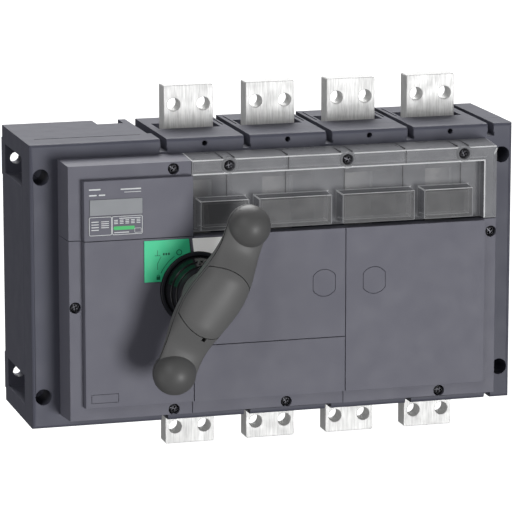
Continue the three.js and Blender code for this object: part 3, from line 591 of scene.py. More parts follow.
def add_skin(node, kind, material, bevel, slot):
    """A moulded skin on the CAD shape with every edge eased, held inside the CAD node's box."""
    piece = moulding_from(node, f"{node}_{kind}", material)
    bevelled(piece, bevel, angle=SKIN_BEVEL_ANGLE)
    low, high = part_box(node)
    for vertex in piece.data.vertices:
        vertex.co = [min(max(place, least), most) for place, least, most in zip(vertex.co, low, high)]
    smooth(piece, SKIN_SMOOTH_ANGLE)
    placed(piece, CASE, slot, node)


# ---- Case ----
CASE_BEVEL = 0.3
JOINT_LINE_START = 10
JOINT_LINE_LENGTH = 88
JOINT_LINE_WIDTH = 1.4
JOINT_LINE_SINK = 0.2
JOINT_LINE_PROUD = 0.02


def add_case():
    for node in ("front_case", "rear_case"):
        add_skin(node, "moulding", "case", CASE_BEVEL, "case_plastic")


def add_case_joint_line():
    """A painted shade line where the case's halves meet, on top and left of the poles: a thin matte black
    strip.
    """
    low, high = box_of("rear_case")
    left = low.x + JOINT_LINE_START
    start = (left, low.y - JOINT_LINE_WIDTH, high.z - JOINT_LINE_SINK)
    end = (left + JOINT_LINE_LENGTH, low.y, high.z + JOINT_LINE_PROUD)
    placed(block("case_joint_line", start, end, "seam"), CASE, "case_plastic")


# ---- Covers ----
COVER_BEVEL = 0.3
BLANK_BEVEL = 0.15
COVERS = ("cover_upper_left", "cover_lower_left", "cover_mid_upper", "cover_mid_lower", "cover_right")
BLANKS = ("lock_blank_mid", "lock_blank_right", "access_blank")

# Places in the stepped front of the clear shield, from its CAD box.
SHIELD_LOW, SHIELD_HIGH = box_of("clear_shield")
WINDOW_FACE_Y = SHIELD_LOW.y + 1.5
RIM_FACE_Y = SHIELD_LOW.y + 6
LEDGE_FACE_Y = SHIELD_LOW.y + 15
RIM_TOP = SHIELD_HIGH.z - 2
RIM_SIDE = SHIELD_HIGH.x - 12.5
LEDGE_TOP = SHIELD_HIGH.z - 13.5
BOX_TOP = SHIELD_HIGH.z - 33.2

FLANGE_FRONT = 1.5
FLANGE_BACK = 14
FLANGE_THICKNESS = 1.6
FLANGE_INSET = 0.3
FLANGE_END_GAP = 1
FLANGE_BEVEL = 0.2
PANEL_TOP = SHIELD_HIGH.z - 12.3
PANEL_GAP = 2


def add_covers():
    for nodes, bevel in ((COVERS, COVER_BEVEL), (BLANKS, BLANK_BEVEL)):
        for node in nodes:
            add_skin(node, "moulding", "cover", bevel, "cover_plastic")


def add_flange_under_shield():
    """Return edge of the covers below the shield, which closes the view into the mechanism room."""
    low, high = box_of("cover_mid_upper")
    right = box_of("cover_right")[1].x
    top = high.z - FLANGE_INSET
    start = (low.x + FLANGE_END_GAP, low.y + FLANGE_FRONT, top - FLANGE_THICKNESS)
    flange = block("cover_flange", start, (right - FLANGE_BACK, low.y + FLANGE_BACK, top), "cover")
    placed(bevelled(flange, FLANGE_BEVEL), CASE, "cover_plastic")


def add_flange_beside_shield():
    """Return edge of the upper left cover along the shield's end, stepped back behind the rim."""
    low, high = box_of("cover_upper_left")
    left, right = high.x - FLANGE_INSET - FLANGE_THICKNESS, high.x - FLANGE_INSET
    front, back = low.y + FLANGE_FRONT, low.y + FLANGE_BACK
    top = PANEL_TOP - PANEL_GAP
    flange = block("cover_end_flange", (left, front, low.z + FLANGE_END_GAP), (right, back, top), "cover")
    bottom = PANEL_TOP - 2 * PANEL_GAP
    upper = block("upper", (left, RIM_FACE_Y + FLANGE_FRONT, bottom), (right, back, RIM_TOP), "cover")
    placed(bevelled(boolean(flange, upper, "UNION"), FLANGE_BEVEL), CASE, "cover_plastic")


# ---- Clear shield ----
SHIELD_SCREWS = [middle_of(f"shield_screw_{number}") for number in range(1, 4)]
SHIELD_FINISHES = ("clear", "clear_painted_highlight", "clear_window_painted_shade", "clear_painted_dim_highlight")
SHIELD_BEVEL = 0.8
BOSS_REACH = 9
RIM_EDGE_REACH = 1.2
RIM_FACE_REACH = 1
LIT_EDGE = 0.2

WEB_LINES = (2, 102)
CHANNEL_HALF = 5
RIB_HALF = 0.45
RIB_PROUD = 0.2
RIB_SINK = 0.1
RIB_BEVEL = 0.1
WEB_GAP = 1
CHANNEL_GAP = 2.5
TOP_RIB_Y = (RIM_FACE_Y + 4, RIM_FACE_Y + 29)
TOP_RIB_Z = (SHIELD_HIGH.z - 2.4, SHIELD_HIGH.z - 0.2)
# Sizes of the painted highlight strip along the rim's inner edge.
RIM_LINE = 1.1
RIM_LINE_BEVEL = 0.08
RIM_LINE_GAP = 0.01
RIM_LINE_END = 1


def shield_finish(face):
    """Painted highlights: bevels that face up or lie along the rim's inner edges are bright, and the other
    bevels mid grey. Painted shade: the window fronts are dark.
    """
    x, y, z = face.center / MM
    finish = SHIELD_FINISHES[face.material_index]
    if finish == "clear_painted_highlight":
        near_screw = any(math.hypot(x - screw.x, z - screw.z) < BOSS_REACH for screw in SHIELD_SCREWS)
        near_rim_edge = min(abs(z - LEDGE_TOP), abs(x - RIM_SIDE)) < RIM_EDGE_REACH
        inside_rim = y < RIM_FACE_Y + RIM_FACE_REACH and near_rim_edge
        lit = face.normal.z > LIT_EDGE and not near_screw
        return "clear_painted_highlight" if inside_rim or lit else "clear_painted_dim_highlight"
    return "clear_window_painted_shade" if y < WINDOW_FACE_Y else finish


def add_shield():
    """The clear moulding, with painted highlights on its edges, and windows whose darker tint is painted
    shade over the dark poles behind.
    """
    piece = moulding_from("clear_shield", "clear_shield_moulding", "clear")
    set_finishes(piece, *SHIELD_FINISHES)
    bevelled(piece, SHIELD_BEVEL, angle=SKIN_BEVEL_ANGLE, edge_slot=SHIELD_FINISHES.index("clear_painted_highlight"))
    for face in piece.data.polygons:
        face.material_index = SHIELD_FINISHES.index(shield_finish(face))
    smooth(piece, SKIN_SMOOTH_ANGLE)
    placed(piece, CASE, "clear_plastic", "clear_shield")


def front_rib(x, low, high, face):
    """A fine moulded line on the front of the shield, from `low` to `high` in Z."""
    return block("rib", (x - RIB_HALF, face - RIB_PROUD, low), (x + RIB_HALF, face + RIB_SINK, high))


def top_rib(x):
    """A fine moulded line from front to back on top of the shield."""
    (front, back), (low, high) = TOP_RIB_Y, TOP_RIB_Z
    return block("rib", (x - RIB_HALF, front, low), (x + RIB_HALF, back, high))


def add_shield_ribs():
    """Lines of the stiffening webs, and the channel that runs up and over the rim from each screw: real webs,
    drawn as dark strips of painted shade for how they look through the clear plastic.
    """
    ribs = []
    for x in WEB_LINES:
        ribs.append(front_rib(x, LEDGE_TOP + WEB_GAP, RIM_TOP, RIM_FACE_Y))
        ribs.append(front_rib(x, BOX_TOP, LEDGE_TOP - WEB_GAP, LEDGE_FACE_Y))
        ribs.append(top_rib(x))
    for screw in SHIELD_SCREWS:
        ribs.append(front_rib(screw.x, BOX_TOP, LEDGE_TOP - CHANNEL_GAP, LEDGE_FACE_Y))
        ribs.append(top_rib(screw.x - CHANNEL_HALF))
        ribs.append(top_rib(screw.x + CHANNEL_HALF))
    lines = joined("shield_rib_lines", ribs, "clear_rib_painted_shade")
    placed(bevelled(lines, RIB_BEVEL, segments=1), CASE, "clear_plastic")


def add_shield_rim_highlight():
    """A painted highlight: a bright strip along the inner edge of the rim, over the windows and down their
    right side.
    """
    left, bottom = SHIELD_LOW.x + RIM_LINE_END, SHIELD_LOW.z + RIM_LINE_END
    front, back = RIM_FACE_Y - RIB_PROUD, RIM_FACE_Y + RIB_SINK
    end = RIM_SIDE + RIM_LINE
    bars = [
        block("bar", (left, front, LEDGE_TOP), (end, back, LEDGE_TOP + RIM_LINE)),
        block("bar", (RIM_SIDE, front, bottom), (end, back, LEDGE_TOP - RIM_LINE_GAP)),
    ]
    line = joined("shield_rim_highlight", bars, "clear_painted_highlight")
    placed(bevelled(line, RIM_LINE_BEVEL, segments=1), CASE, "clear_plastic")


# ---- Terminals ----
TERMINAL_ROOT = 113
PAD_THICKNESS = 16
PAD_CORNER = 1.4
PAD_BEVEL = 0.5
HOLE_SPACING = 25
HOLE_RADIUS = 5.5
HOLE_SIDES = 64
TAIL_HALF = 20
TAIL_INSET = 1
TAIL_BEVEL = 0.4
TAIL_OVERLAP = 1
CONTACT_HALF = 14
CONTACT_Z = (1, 18)
CONTACT_OVERLAP = 3
CONTACT_BEVEL = 0.6
SILVER_START = 1


def pad_place(node):
    """X and front Y of a terminal's pad, and Z of its bolt holes, from the record."""
    mount = next(mount for mount in frame["record"]["mounts"] if mount["name"] == node + "_pad")
    return [value / MM for value in mount["pos_m"]]


def terminal_pad(node, root, end):
    """The flat bar outside the case, with its two bolt holes."""
    low, high = box_of(node)
    x, front, hole_z = pad_place(node)
    pad = rounded_rectangle(low.x, high.x, min(root, end), max(root, end), PAD_CORNER)
    holes = [circle((x + way * HOLE_SPACING / 2, hole_z), HOLE_RADIUS, HOLE_SIDES) for way in (-1, 1)]
    return cut_sheet(node + "_bar", [pad, *holes], front, front + PAD_THICKNESS, "tin", PAD_BEVEL)


def terminal_tail(node, inner, outer):
    """The narrower bar between the pad and the pole."""
    x, front, _ = pad_place(node)
    near, far = front + TAIL_INSET, front + PAD_THICKNESS - TAIL_INSET
    low, high = min(inner, outer), max(inner, outer)
    tail = block("tail", (x - TAIL_HALF, near, low), (x + TAIL_HALF, far, high), "tin")
    return bevelled(tail, TAIL_BEVEL)


def add_fixed_contact(piece, node):
    """The silvered block that the moving contact touches, on the inner end of a top terminal."""
    low = box_of(node)[0]
    x, front, _ = pad_place(node)
    bottom, top = (low.z + rise for rise in CONTACT_Z)
    near, far = low.y, front + CONTACT_OVERLAP
    contact = block("contact", (x - CONTACT_HALF, near, bottom), (x + CONTACT_HALF, far, top), "tin")
    boolean(piece, bevelled(contact, CONTACT_BEVEL), "UNION")
    piece.data.materials.append(MATERIALS["contact"])
    for face in piece.data.polygons:
        if face.center.y < (front - SILVER_START) * MM:
            face.material_index = 1


def add_terminal(side, number):
    node = f"{side}_terminal_{number}"
    low, high = box_of(node)
    way = 1 if side == "top" else -1
    inner, end = (low.z, high.z) if side == "top" else (high.z, low.z)
    root = way * TERMINAL_ROOT
    pad = terminal_pad(node, root, end)
    piece = boolean(pad, terminal_tail(node, inner, root + way * TAIL_OVERLAP), "UNION")
    if side == "top":
        add_fixed_contact(piece, node)
    smooth(piece)
    placed(piece, CASE, "tinned_copper", node)


def add_terminals():
    for side in ("top", "bottom"):
        for number in POLES:
            add_terminal(side, number)


# ---- Screws ----
HEAD_HEIGHT = 5.2
HEAD_ROUND = 0.3
# Share of the head's radius, and depth behind its front.
HEAD_DOME = [(0, 0), (0.55, 0.12), (0.85, 0.5), (1, 1.3)]
HEAD_SIDES = 48
THREAD_RADIUS = 2.45
POINT_LENGTH = 1.5
RECESS_HALF_LENGTH = 2.9
RECESS_HALF_WIDTH = 0.55
RECESS_DEPTH = 2.0
RECESS_START = -0.5
SCREW_BEVEL = 0.12
SCREW_BEVEL_ANGLE = 45
TURN_PER_SCREW = 37


def screw_profile(radius, front, tip):
    seat = front + HEAD_HEIGHT
    dome = [(radius * share, front + depth) for share, depth in HEAD_DOME]
    rim = [(radius, seat - HEAD_ROUND), (radius - HEAD_ROUND, seat)]
    shank = [(THREAD_RADIUS, seat), (THREAD_RADIUS, tip - POINT_LENGTH), (0, tip)]
    return dome + rim + shank


def recess_bar(place, turn):
    """One bar of the cross recess, turned in the face of the screw's head."""
    low = (-RECESS_HALF_LENGTH, RECESS_START, -RECESS_HALF_WIDTH)
    high = (RECESS_HALF_LENGTH, RECESS_DEPTH, RECESS_HALF_WIDTH)
    bar = block("bar", low, high)
    bar.data.transform(Matrix.Rotation(turn, 4, "Y"))
    bar.data.transform(Matrix.Translation(Vector(place) * MM))
    return bar


def add_screw(node, number):
    """A blackened pan-head screw with a cross recess. Each number is left at another angle."""
    low, high = box_of(node)
    x, z = (low.x + high.x) / 2, (low.z + high.z) / 2
    radius = (high.x - low.x) / 2
    piece = turned(node + "_head", (x, z), screw_profile(radius, low.y, high.y), HEAD_SIDES)
    turn = math.radians(number * TURN_PER_SCREW % 90)
    for quarter in (0, math.pi / 2):
        boolean(piece, recess_bar((x, low.y, z), turn + quarter))
    set_finishes(piece, "black_steel")
    bevelled(piece, SCREW_BEVEL, angle=SCREW_BEVEL_ANGLE)
    smooth(piece)
    placed(piece, CASE, "black_steel", node)


def add_screws():
    screws = [f"cover_screw_{number}" for number in range(1, 7)]
    screws += [f"shield_screw_{number}" for number in range(1, 4)]
    for number, node in enumerate(screws, start=1):
        add_screw(node, number)


# ---- Lever ----
HUB = middle_of("handle_hub")
LEVER_TILT = math.radians(28)
LEVER_Y = -188
LEVER_ARM = 65.5
BALL_RADIUS = 17.5

# Half width and half depth of the arm, each at the hub and at the balls.
LEVER_WIDTH = (23.4, 17)
LEVER_DEPTH = (19, 8.2)
LEVER_TAPER_END = LEVER_ARM - 10
LEVER_NECK = (20, LEVER_ARM - BALL_RADIUS)
LEVER_SWELL = 2.4
# How far the arm sways sideways at most, and where the sway ends.
LEVER_SWAY = (2.5, 60)
ARM_ROWS = 72
ARM_SIDES = 56

# The joint's height in front of LEVER_Y in the middle and near the balls, and where it falls between them.
SEAM_HEIGHT = (5, 0.8)
SEAM_FALL = (20, 62)
SEAM_GAP = 0.55
SEAM_STEP = 2
LEVER_SPLIT_Y = LEVER_Y - SEAM_HEIGHT[0]

# Half sizes of a space around the whole lever, along its own axes.
AROUND_X, AROUND_Y, AROUND_Z = 60, 100, 60

LENS_RADIUS = 33
LENS_OFFSET = 4
LENS_SIDES = 96
CAP_FLOOR_Y = LEVER_Y - 7.5
CAP_LIFT = 0.3
CAP_NOTCH = ((2.3, -31.6, 6), (5.7, -28.8, 40))
IN_FRONT_Y = -230

NECK_RADIUS = 20
NECK_END_Y = -170.6
SPINDLE_BORE = 6.4
SPINDLE_BORE_Y = (LEVER_Y + 5, -160)
PIN_RADIUS = 5
PIN_BORE = 5.4
PIN_Y = (CAP_FLOOR_Y - 2, LEVER_Y + 9)
FRONT_PIN_BORE_Y = (CAP_FLOOR_Y - 8, LEVER_SPLIT_Y + 4)
REAR_PIN_BORE_Y = (LEVER_SPLIT_Y - 1, LEVER_Y + 10)

# The shell plastic, black painted shade for the joints, and a darker painted shade copy for the balls.
LEVER_FINISHES = ("handle", "seam", "knob")
LEVER_SMOOTH_ANGLE = 30
# How squarely a face must face the front, and how close it must lie, to be in the joint or the cap's bed.
JOINT_FACING = 0.93
JOINT_REACH = 0.08
BED_FACING = 0.999
BED_REACH = 0.02
KNOB_REACH = BALL_RADIUS + 0.02


def smoothstep(value, low, high):
    share = min(1, max(0, (value - low) / (high - low)))
    return share * share * (3 - 2 * share)


def blended(ends, share):
    return ends[0] + (ends[1] - ends[0]) * share


def lever_section(along):
    """Half width, half depth, sideways shift and forward shift of the lever at that distance from the hub."""
    reach = abs(along)
    wide = blended(LEVER_WIDTH, smoothstep(reach, 0, LEVER_TAPER_END))
    deep = blended(LEVER_DEPTH, smoothstep(reach, *LEVER_NECK))
    most, end = LEVER_SWAY
    sway = most * math.sin(math.pi * along / end) if reach < end else 0
    swell = LEVER_SWELL * (1 - smoothstep(reach, 0, LEVER_NECK[1]))
    return wide, deep, sway, swell


def on_lever():
    """Turns the lever's own axes (X across, Y along, Z to the front) to its place on the hub."""
    place = Matrix.Translation(Vector((HUB.x, LEVER_Y, HUB.z)) * MM)
    return place @ Matrix.Rotation(LEVER_TILT, 4, "Y") @ Matrix.Rotation(math.pi / 2, 4, "X")


def arm_outline(along):
    """The oval around the arm at that distance from the hub, in the lever's own axes."""
    wide, deep, sway, swell = lever_section(along)
    turns = [2 * math.pi * j / ARM_SIDES for j in range(ARM_SIDES)]
    return [(wide * math.cos(turn) + sway, along, deep * math.sin(turn) + swell) for turn in turns]


def lever_arm():
    places = [LEVER_ARM * (2 * i / ARM_ROWS - 1) for i in range(ARM_ROWS + 1)]
    return lofted("lever_arm", [arm_outline(along) for along in places])


def ball(along):
    bm = bmesh.new()
    bmesh.ops.create_uvsphere(bm, u_segments=56, v_segments=36, radius=BALL_RADIUS * MM)
    bmesh.ops.translate(bm, verts=bm.verts, vec=(0, along * MM, 0))
    return from_bmesh("ball", bm)


def lever_solid():
    """The arm and its two balls in one, on the hub."""
    piece = lever_arm()
    for way in (-1, 1):
        boolean(piece, ball(way * LEVER_ARM), "UNION")
    piece.data.transform(on_lever())
    return piece


def lens(radius, front, back):
    """The region under the middle cap: where two discs along the lever overlap."""
    discs = []
    for along in (-LENS_OFFSET, LENS_OFFSET):
        centre = (HUB.x + along * math.sin(LEVER_TILT), HUB.z + along * math.cos(LEVER_TILT))
        discs.append(cut_sheet("disc", [circle(centre, radius, LENS_SIDES)], front, back))
    return boolean(discs[0], discs[1], "INTERSECT")


def rod(radius, front, back):
    """A round bar on the hub's axis."""
    return cut_sheet("rod", [circle((HUB.x, HUB.z), radius)], front, back)


def seam_height(along):
    """How far the joint between the shells lies in front of the lever's middle plane."""
    return blended(SEAM_HEIGHT, smoothstep(abs(along), *SEAM_FALL))


def side_of_seam(way):
    """All the space in front of the joint (way 1) or behind it (way -1), less half of the gap."""
    places = range(-AROUND_Y, AROUND_Y + 1, SEAM_STEP)
    outline = [(along, seam_height(along) + way * SEAM_GAP / 2) for along in places]
    outline += [(AROUND_Y, way * AROUND_Z), (-AROUND_Y, way * AROUND_Z)]
    left, right = ([(x, *point) for point in outline] for x in (-AROUND_X, AROUND_X))
    piece = lofted("side_of_seam", [left, right])
    piece.data.transform(on_lever())
    return piece


def lever_rear_shell(solid):
    """The back of the lever, with its neck and the bores for the spindle and the cap's pin."""
    shell = boolean(copy_of(solid), side_of_seam(-1), "INTERSECT")
    boolean(shell, rod(NECK_RADIUS, LEVER_Y, NECK_END_Y), "UNION")
    boolean(shell, rod(SPINDLE_BORE, *SPINDLE_BORE_Y))
    boolean(shell, rod(PIN_BORE, *REAR_PIN_BORE_Y))
    return shell


def lever_front_shell(solid):
    """The front of the lever, with the cap's bed, the bore for its pin and the notch beside it."""
    shell = boolean(copy_of(solid), side_of_seam(1), "INTERSECT")
    boolean(shell, lens(LENS_RADIUS, IN_FRONT_Y, CAP_FLOOR_Y))
    boolean(shell, rod(PIN_BORE, *FRONT_PIN_BORE_Y))
    notch = block("notch", *CAP_NOTCH)
    notch.data.transform(on_lever())
    return boolean(shell, notch)


def lever_cap(solid):
    """The cap in the middle, on the pin by which it slides."""
    region = lens(LENS_RADIUS - SEAM_GAP, IN_FRONT_Y, CAP_FLOOR_Y - CAP_LIFT)
    cap = boolean(copy_of(solid), region, "INTERSECT")
    return boolean(cap, rod(PIN_RADIUS, *PIN_Y), "UNION")


def lever_finish(face, into_lever):
    """The shells are mid grey, and the balls a darker copy of the same plastic as painted shade. Faces inside
    the joints and in the cap's bed are black, painted shade as deep gaps look.
    """
    place = (into_lever @ face.center) / MM
    _, along, height = place
    facing = abs(face.normal.y)
    off_joint = abs(abs(height - seam_height(along)) - SEAM_GAP / 2)
    off_bed = min(abs(face.center.y / MM - bed) for bed in (CAP_FLOOR_Y, CAP_FLOOR_Y - CAP_LIFT))
    in_joint = facing > JOINT_FACING and off_joint < JOINT_REACH
    if in_joint or (facing > BED_FACING and off_bed < BED_REACH):
        return "seam"
    knob = Vector((0, math.copysign(LEVER_ARM, along), 0))
    return "knob" if (place - knob).length < KNOB_REACH else "handle"


def finish_lever(piece):
    set_finishes(piece, *LEVER_FINISHES)
    into_lever = on_lever().inverted()
    for face in piece.data.polygons:
        face.material_index = LEVER_FINISHES.index(lever_finish(face, into_lever))


def add_lever():
    solid = lever_solid()
    parts = [
        (lever_rear_shell(solid), "handle_rear_shell", LEVER),
        (lever_front_shell(solid), "handle_front_shell", LEVER),
        (lever_cap(solid), "handle_padlock_cap", CAP),
    ]
    drop(solid)
    for piece, node, rider in parts:
        piece.name = node + "_moulding"
        finish_lever(piece)
        smooth(piece, LEVER_SMOOTH_ANGLE)
        placed(piece, rider, "handle_plastic", node)


# ---- Hub and dial ring ----
HUB_SIDES = 96
# Radius, and depth behind the hub's front face. Three ridges, each a little wider than the one in front.
HUB_STEPS = [
    (20, 0), (20.8, 1.2), (22.0, 4.5), (22.2, 5.2),
    (22.9, 5.3), (23.2, 5.6), (24.4, 11.8), (24.6, 12.6),
    (25.3, 12.7), (25.6, 13), (26.6, 19), (27.1, 20.5),
]

# Around the hub's axis.
POINTER_OUTLINE = [(-6.3, 19.5), (5.7, 19.5), (2.0, 26.3), (0, 23.2), (-2.0, 26.3)]
POINTER_FRONT_Y = -160.5
POINTER_LENGTH = 9
POINTER_BEVEL = 0.3

BEZEL_BORE = 6.5
BEZEL_FLOOR_Y = -141.1
BEZEL_RIM = (27.6, 30.4)
BEZEL_ROUND = 0.4


def add_hub_rotor():
    low, high = box_of("handle_hub")
    steps = [(radius, low.y + depth) for radius, depth in HUB_STEPS]
    outer = steps[-1][0]
    profile = [(SPINDLE_BORE, low.y), *steps, (outer, high.y), (SPINDLE_BORE, high.y)]
    rotor = turned("handle_hub_rotor", (HUB.x, HUB.z), profile, HUB_SIDES, "black")
    placed(smooth(rotor), LEVER, "black_plastic", "handle_hub")


def add_hub_pointer():
    outline = [(HUB.x + x, HUB.z + z) for x, z in POINTER_OUTLINE]
    back = POINTER_FRONT_Y + POINTER_LENGTH
    pointer = cut_sheet("hub_pointer", [outline], POINTER_FRONT_Y, back, "handle", POINTER_BEVEL)
    placed(smooth(pointer), LEVER, "handle_plastic")


def add_dial_bezel():
    """The ring around the hub: a flat floor with a raised rim."""
    low, high = box_of("dial_bezel")
    outer = (high.x - low.x) / 2
    inside, outside = BEZEL_RIM
    rim = [
        (inside, BEZEL_FLOOR_Y), (inside, low.y + BEZEL_ROUND), (inside + BEZEL_ROUND, low.y),
        (outside - BEZEL_ROUND, low.y), (outside, low.y + BEZEL_ROUND), (outside, BEZEL_FLOOR_Y),
    ]
    back = [(outer, BEZEL_FLOOR_Y), (outer, high.y), (BEZEL_BORE, high.y)]
    profile = [(BEZEL_BORE, BEZEL_FLOOR_Y), *rim, *back]
    bezel = turned("dial_bezel_ring", (HUB.x, HUB.z), profile, HUB_SIDES, "bezel")
    placed(smooth(bezel), CASE, "black_plastic", "dial_bezel")


# ---- Printing ----
INK_FRONT = 0.08
INK_BACK = 0.01
FILM_SETBACK = 0.2


def printed(outlines, surface, material=None):
    """A thin layer of ink on a surface at that Y."""
    return cut_sheet("ink", outlines, surface - INK_FRONT, surface - INK_BACK, material)


def bar(x0, x1, z, height, surface, material=None):
    """A generic bar in place of a line of text, with its middle at that Z."""
    outline = rounded_rectangle(x0, x1, z - height / 2, z + height / 2, radius=height * 0.3, steps=2)
    return printed([outline], surface, material)


def column(x0, x1, top, pitch, count, height):
    """Equal bars below each other, as (x0, x1, z, height)."""
    return [(x0, x1, top - pitch * i, height) for i in range(count)]


def ring_frame(x0, x1, z0, z1, radius, width, surface):
    outer = rounded_rectangle(x0, x1, z0, z1, radius)
    inner = rounded_rectangle(x0 + width, x1 - width, z0 + width, z1 - width, radius - width)
    return printed([outer, inner], surface)


def mark_line(start, end, width, surface):
    a, b = Vector(start), Vector(end)
    side = (b - a).normalized().orthogonal() * width / 2
    return printed([[a + side, b + side, b - side, a - side]], surface)


def ring_mark(centre, radius, width, surface):
    outer = circle(centre, radius + width / 2, steps=32)
    inner = circle(centre, radius - width / 2, steps=32)
    return printed([outer, inner], surface)


def arc_mark(centre, radius, start, end, width, surface):
    outer = arc_points(centre, radius + width / 2, start, end, steps=24)
    inner = arc_points(centre, radius - width / 2, end, start, steps=24)
    return printed([outer + inner], surface)


# ---- Nameplate and window ----
PLATE_CORNER = 1.6
PLATE_BEVEL = 0.1
PLATE_SPLIT = 18.8
FRAME_CORNER = 1.4
FRAME_WIDTH = 0.45
FRAME_GAP = 0.1
TABLE_COLUMNS = 5
TABLE_PITCH = 4.6
TABLE_BAR = 3.1
TABLE_START = 1.8
STRIP_X = (1.4, 18.6)
STRIP_Z = 5.4
STRIP_HEIGHT = 2.9
WINDOW_CORNER = 0.6
WINDOW_BEVEL = 0.12

# Bars above the window, from its upper left corner: x0, x1, z and height.
HEADING_BARS = [
    (-0.4, 9.0, 8.2, 1.1),
    (-0.4, 5.8, 3.6, 1.1),
    (7.6, 12.8, 3.6, 1.1),
    (25.5, 42.2, 7.6, 1.0),
    (28.4, 42.2, 5.2, 0.45),
]


def add_film(node, kind, material, corner, bevel, slot):
    """A film over a CAD plate, set back so that the ink on it stays inside the plate's box."""
    low, high = box_of(node)
    outline = rounded_rectangle(low.x, high.x, low.z, high.z, corner)
    film = cut_sheet(f"{node}_{kind}", [outline], low.y + FILM_SETBACK, high.y, material, bevel)
    placed(film, CASE, slot, node)


def nameplate_frames(low, high, split, surface):
    """A frame around each half of the plate, and a small box in its lower right corner."""
    small = (high.x - 6.6, high.x - 1.0, low.z + 1.1, low.z + 4.9)
    return [
        ring_frame(low.x, split - FRAME_GAP, low.z, high.z, FRAME_CORNER, FRAME_WIDTH, surface),
        ring_frame(split + FRAME_GAP, high.x, low.z, high.z, FRAME_CORNER, FRAME_WIDTH, surface),
        ring_frame(*small, radius=0.5, width=0.3, surface=surface),
    ]


def nameplate_rows(low, high, split):
    """Bars in two columns on the left half, and in a heading, a table and a foot line on the right."""
    start = split + TABLE_START
    rows = column(low.x + 2, low.x + 8, high.z - 4, pitch=2.2, count=4, height=0.7)
    rows += column(low.x + 10, split - 2.5, high.z - 4, pitch=1.6, count=4, height=0.6)
    rows.append((split + 6, high.x - 1.6, high.z - 1.9, 0.6))
    for i in range(TABLE_COLUMNS):
        x = start + TABLE_PITCH * i
        rows += column(x, x + TABLE_BAR, high.z - 3.4, pitch=1.3, count=3, height=0.6)
    rows.append((start, split + 14, low.z + 1.9, 0.7))
    return rows


def add_nameplate():
    add_film("nameplate", "film", "cover", PLATE_CORNER, PLATE_BEVEL, "label_white")
    low, high = box_of("nameplate")
    surface = low.y + FILM_SETBACK
    split = low.x + PLATE_SPLIT
    rows = [bar(*row, surface) for row in nameplate_rows(low, high, split)]
    lines = joined("nameplate_lines", nameplate_frames(low, high, split, surface) + rows, "white_ink")
    placed(lines, CASE, "label_white")
    left, right = (split + x for x in STRIP_X)
    strip = bar(left, right, low.z + STRIP_Z, STRIP_HEIGHT, surface, "strip_green")
    strip.name = "nameplate_strip"
    placed(strip, CASE, "label_green")


def add_rating_window():
    add_film("rating_window", "field", "window", WINDOW_CORNER, WINDOW_BEVEL, "window_grey")


def add_heading():
    low, high = box_of("rating_window")
    panel = box_of("cover_upper_left")[0].y
    bars = [bar(low.x + x0, low.x + x1, high.z + z, height, panel) for x0, x1, z, height in HEADING_BARS]
    placed(joined("heading_bars", bars, "white_ink"), CASE, "label_white")


# ---- Dial ----
DIAL_BEVEL = 0.08
MARK_WIDTH = 0.4

# Marks on the green part of the dial, from its lower left corner.
RING_PLACE = (28.8, 23.3)
RING_RADIUS = 2.1
RING_WIDTH = 0.55
LOCK_BODY = ((10, 1.7), (13, 4.5))
LOCK_CORNER = 0.3
SHACKLE_PLACE = (11.5, 4.5)
SHACKLE_RADIUS = 1.1
WORD_BARS = 3
WORD_START = 15.3
WORD_PITCH = 2.1
WORD_LENGTH = 1.5
WORD_Z = 22.5
WORD_HEIGHT = 1.9
ISOLATOR_LINES = [
    ((10.9, 25.9), (10.9, 21.5)),
    ((8.6, 21.5), (13.2, 21.5)),
    ((10.9, 14.9), (13.8, 20.7)),
    ((10.9, 14.9), (10.9, 10.1)),
]

# The arc along which the pointer travels, around the hub.
TRAVEL_RADIUS = 33.8
TRAVEL_ANGLES = (124.5, 154)
TRAVEL_WIDTH = 0.45


def add_dial_plates():
    add_skin("dial_green", "plate", "green", DIAL_BEVEL, "label_green")
    add_skin("dial_white", "plate", "white", DIAL_BEVEL, "label_white")


def add_dial_symbols():
    """Open ring, padlock, isolator and travel arc, and three short bars in place of a word."""
    corner = box_of("dial_green")[0]
    surface = corner.y

    def on_dial(place):
        return corner.x + place[0], corner.z + place[1]

    (x0, z0), (x1, z1) = (on_dial(place) for place in LOCK_BODY)
    lock = rounded_rectangle(x0, x1, z0, z1, LOCK_CORNER)
    marks = [
        ring_mark(on_dial(RING_PLACE), RING_RADIUS, RING_WIDTH, surface),
        arc_mark((HUB.x, HUB.z), TRAVEL_RADIUS, *TRAVEL_ANGLES, TRAVEL_WIDTH, surface),
        printed([lock], surface),
        arc_mark(on_dial(SHACKLE_PLACE), SHACKLE_RADIUS, 0, 180, MARK_WIDTH, surface),
    ]
    for start, end in ISOLATOR_LINES:
        marks.append(mark_line(on_dial(start), on_dial(end), MARK_WIDTH, surface))
    for i in range(WORD_BARS):
        start = corner.x + WORD_START + WORD_PITCH * i
        marks.append(bar(start, start + WORD_LENGTH, corner.z + WORD_Z, WORD_HEIGHT, surface))
    placed(joined("dial_symbols", marks, "green_ink"), CASE, "label_green")


# ---- Inside ----
SPRING_TURNS = 6
WIRE_RADIUS = 0.9
SPRING_STEPS = SPRING_TURNS * 28
SPRING_SIDES = 12
# The closed coils at each end: their share of the turns, and their pitch, just over the wire's thickness.
CLOSED_SHARE = 0.14
CLOSED_PITCH = 1.92


def coil_rise(share, height):
    """Rise of the coil as a share of its height: flat closed coils at both ends, open coils between."""
    closed = CLOSED_PITCH * SPRING_TURNS * CLOSED_SHARE / height
    if share < CLOSED_SHARE:
        return share / CLOSED_SHARE * closed
    if share > 1 - CLOSED_SHARE:
        return 1 - (1 - share) / CLOSED_SHARE * closed
    return closed + (share - CLOSED_SHARE) / (1 - 2 * CLOSED_SHARE) * (1 - 2 * closed)


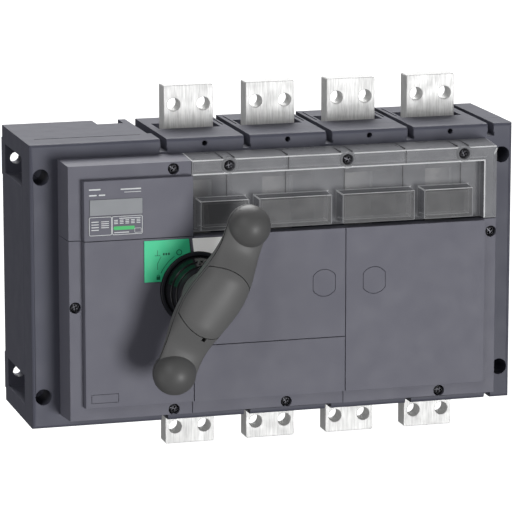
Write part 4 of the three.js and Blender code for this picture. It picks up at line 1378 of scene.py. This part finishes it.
def wire_outline(share, low, high):
    """Points around the spring's wire, at that share of its length."""
    turn = 2 * math.pi * SPRING_TURNS * share
    outward, upward = Vector((math.cos(turn), math.sin(turn), 0)), Vector((0, 0, 1))
    radius = (high.x - low.x) / 2 - WIRE_RADIUS
    height = high.z - low.z - 2 * WIRE_RADIUS
    rise = low.z + WIRE_RADIUS + height * coil_rise(share, height)
    centre = Vector(((low.x + high.x) / 2, (low.y + high.y) / 2, rise)) + outward * radius
    angles = [2 * math.pi * j / SPRING_SIDES for j in range(SPRING_SIDES)]
    return [centre + (outward * math.cos(a) + upward * math.sin(a)) * WIRE_RADIUS for a in angles]


def add_drive_spring():
    """The round-wire spring, built at one length; the real spring shortens as the slide comes down on it."""
    low, high = box_of("drive_spring")
    outlines = [wire_outline(i / SPRING_STEPS, low, high) for i in range(SPRING_STEPS + 1)]
    spring = baked(smooth(lofted("drive_spring_coil", outlines, "steel")))
    placed(spring, CASE, "steel", "drive_spring")
    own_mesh(spring)


INNER_BEVEL = 0.2
PLATE_SCREW_BEVEL = 0.15
BLADE_BEVEL = 0.4


def dress_inside():
    for node in ("drive_spindle", "mechanism_plate", "drive_slide", "pole_shaft", "shaft_lever"):
        dress(node, "steel", INNER_BEVEL)
    for number in (1, 2):
        dress(f"plate_screw_{number}", "steel", PLATE_SCREW_BEVEL)
    for side in ("left", "right"):
        dress(f"shaft_bearing_{side}", "black", INNER_BEVEL)
    for number in POLES:
        dress(f"moving_contact_{number}", "contact", BLADE_BEVEL)
        dress(f"arc_chute_{number}", "arc", INNER_BEVEL)
        dress(f"flex_braid_{number}", "braid", INNER_BEVEL)


# ---- Floor ----
FLOOR_HALF = 9000
FLOOR_TOP = 0.2
FLOOR_BOTTOM = 20


def add_floor():
    """A floor just below the object, which casts no shadow or light on it."""
    low = CAD_BOX[0].z / MM
    bottom = (-FLOOR_HALF, -FLOOR_HALF, low - FLOOR_BOTTOM)
    floor = block("floor", bottom, (FLOOR_HALF, FLOOR_HALF, low - FLOOR_TOP))
    floor.data.materials.append(floor_material())
    floor.visible_shadow = False
    floor.visible_diffuse = False
    floor.visible_glossy = False


add_camera()
add_lights()
add_floor()
add_case()
add_case_joint_line()
add_covers()
add_flange_under_shield()
add_flange_beside_shield()
add_shield()
add_shield_ribs()
add_shield_rim_highlight()
add_terminals()
add_screws()
add_lever()
add_hub_rotor()
add_hub_pointer()
add_dial_bezel()
add_nameplate()
add_rating_window()
add_heading()
add_dial_plates()
add_dial_symbols()
add_drive_spring()
dress_inside()
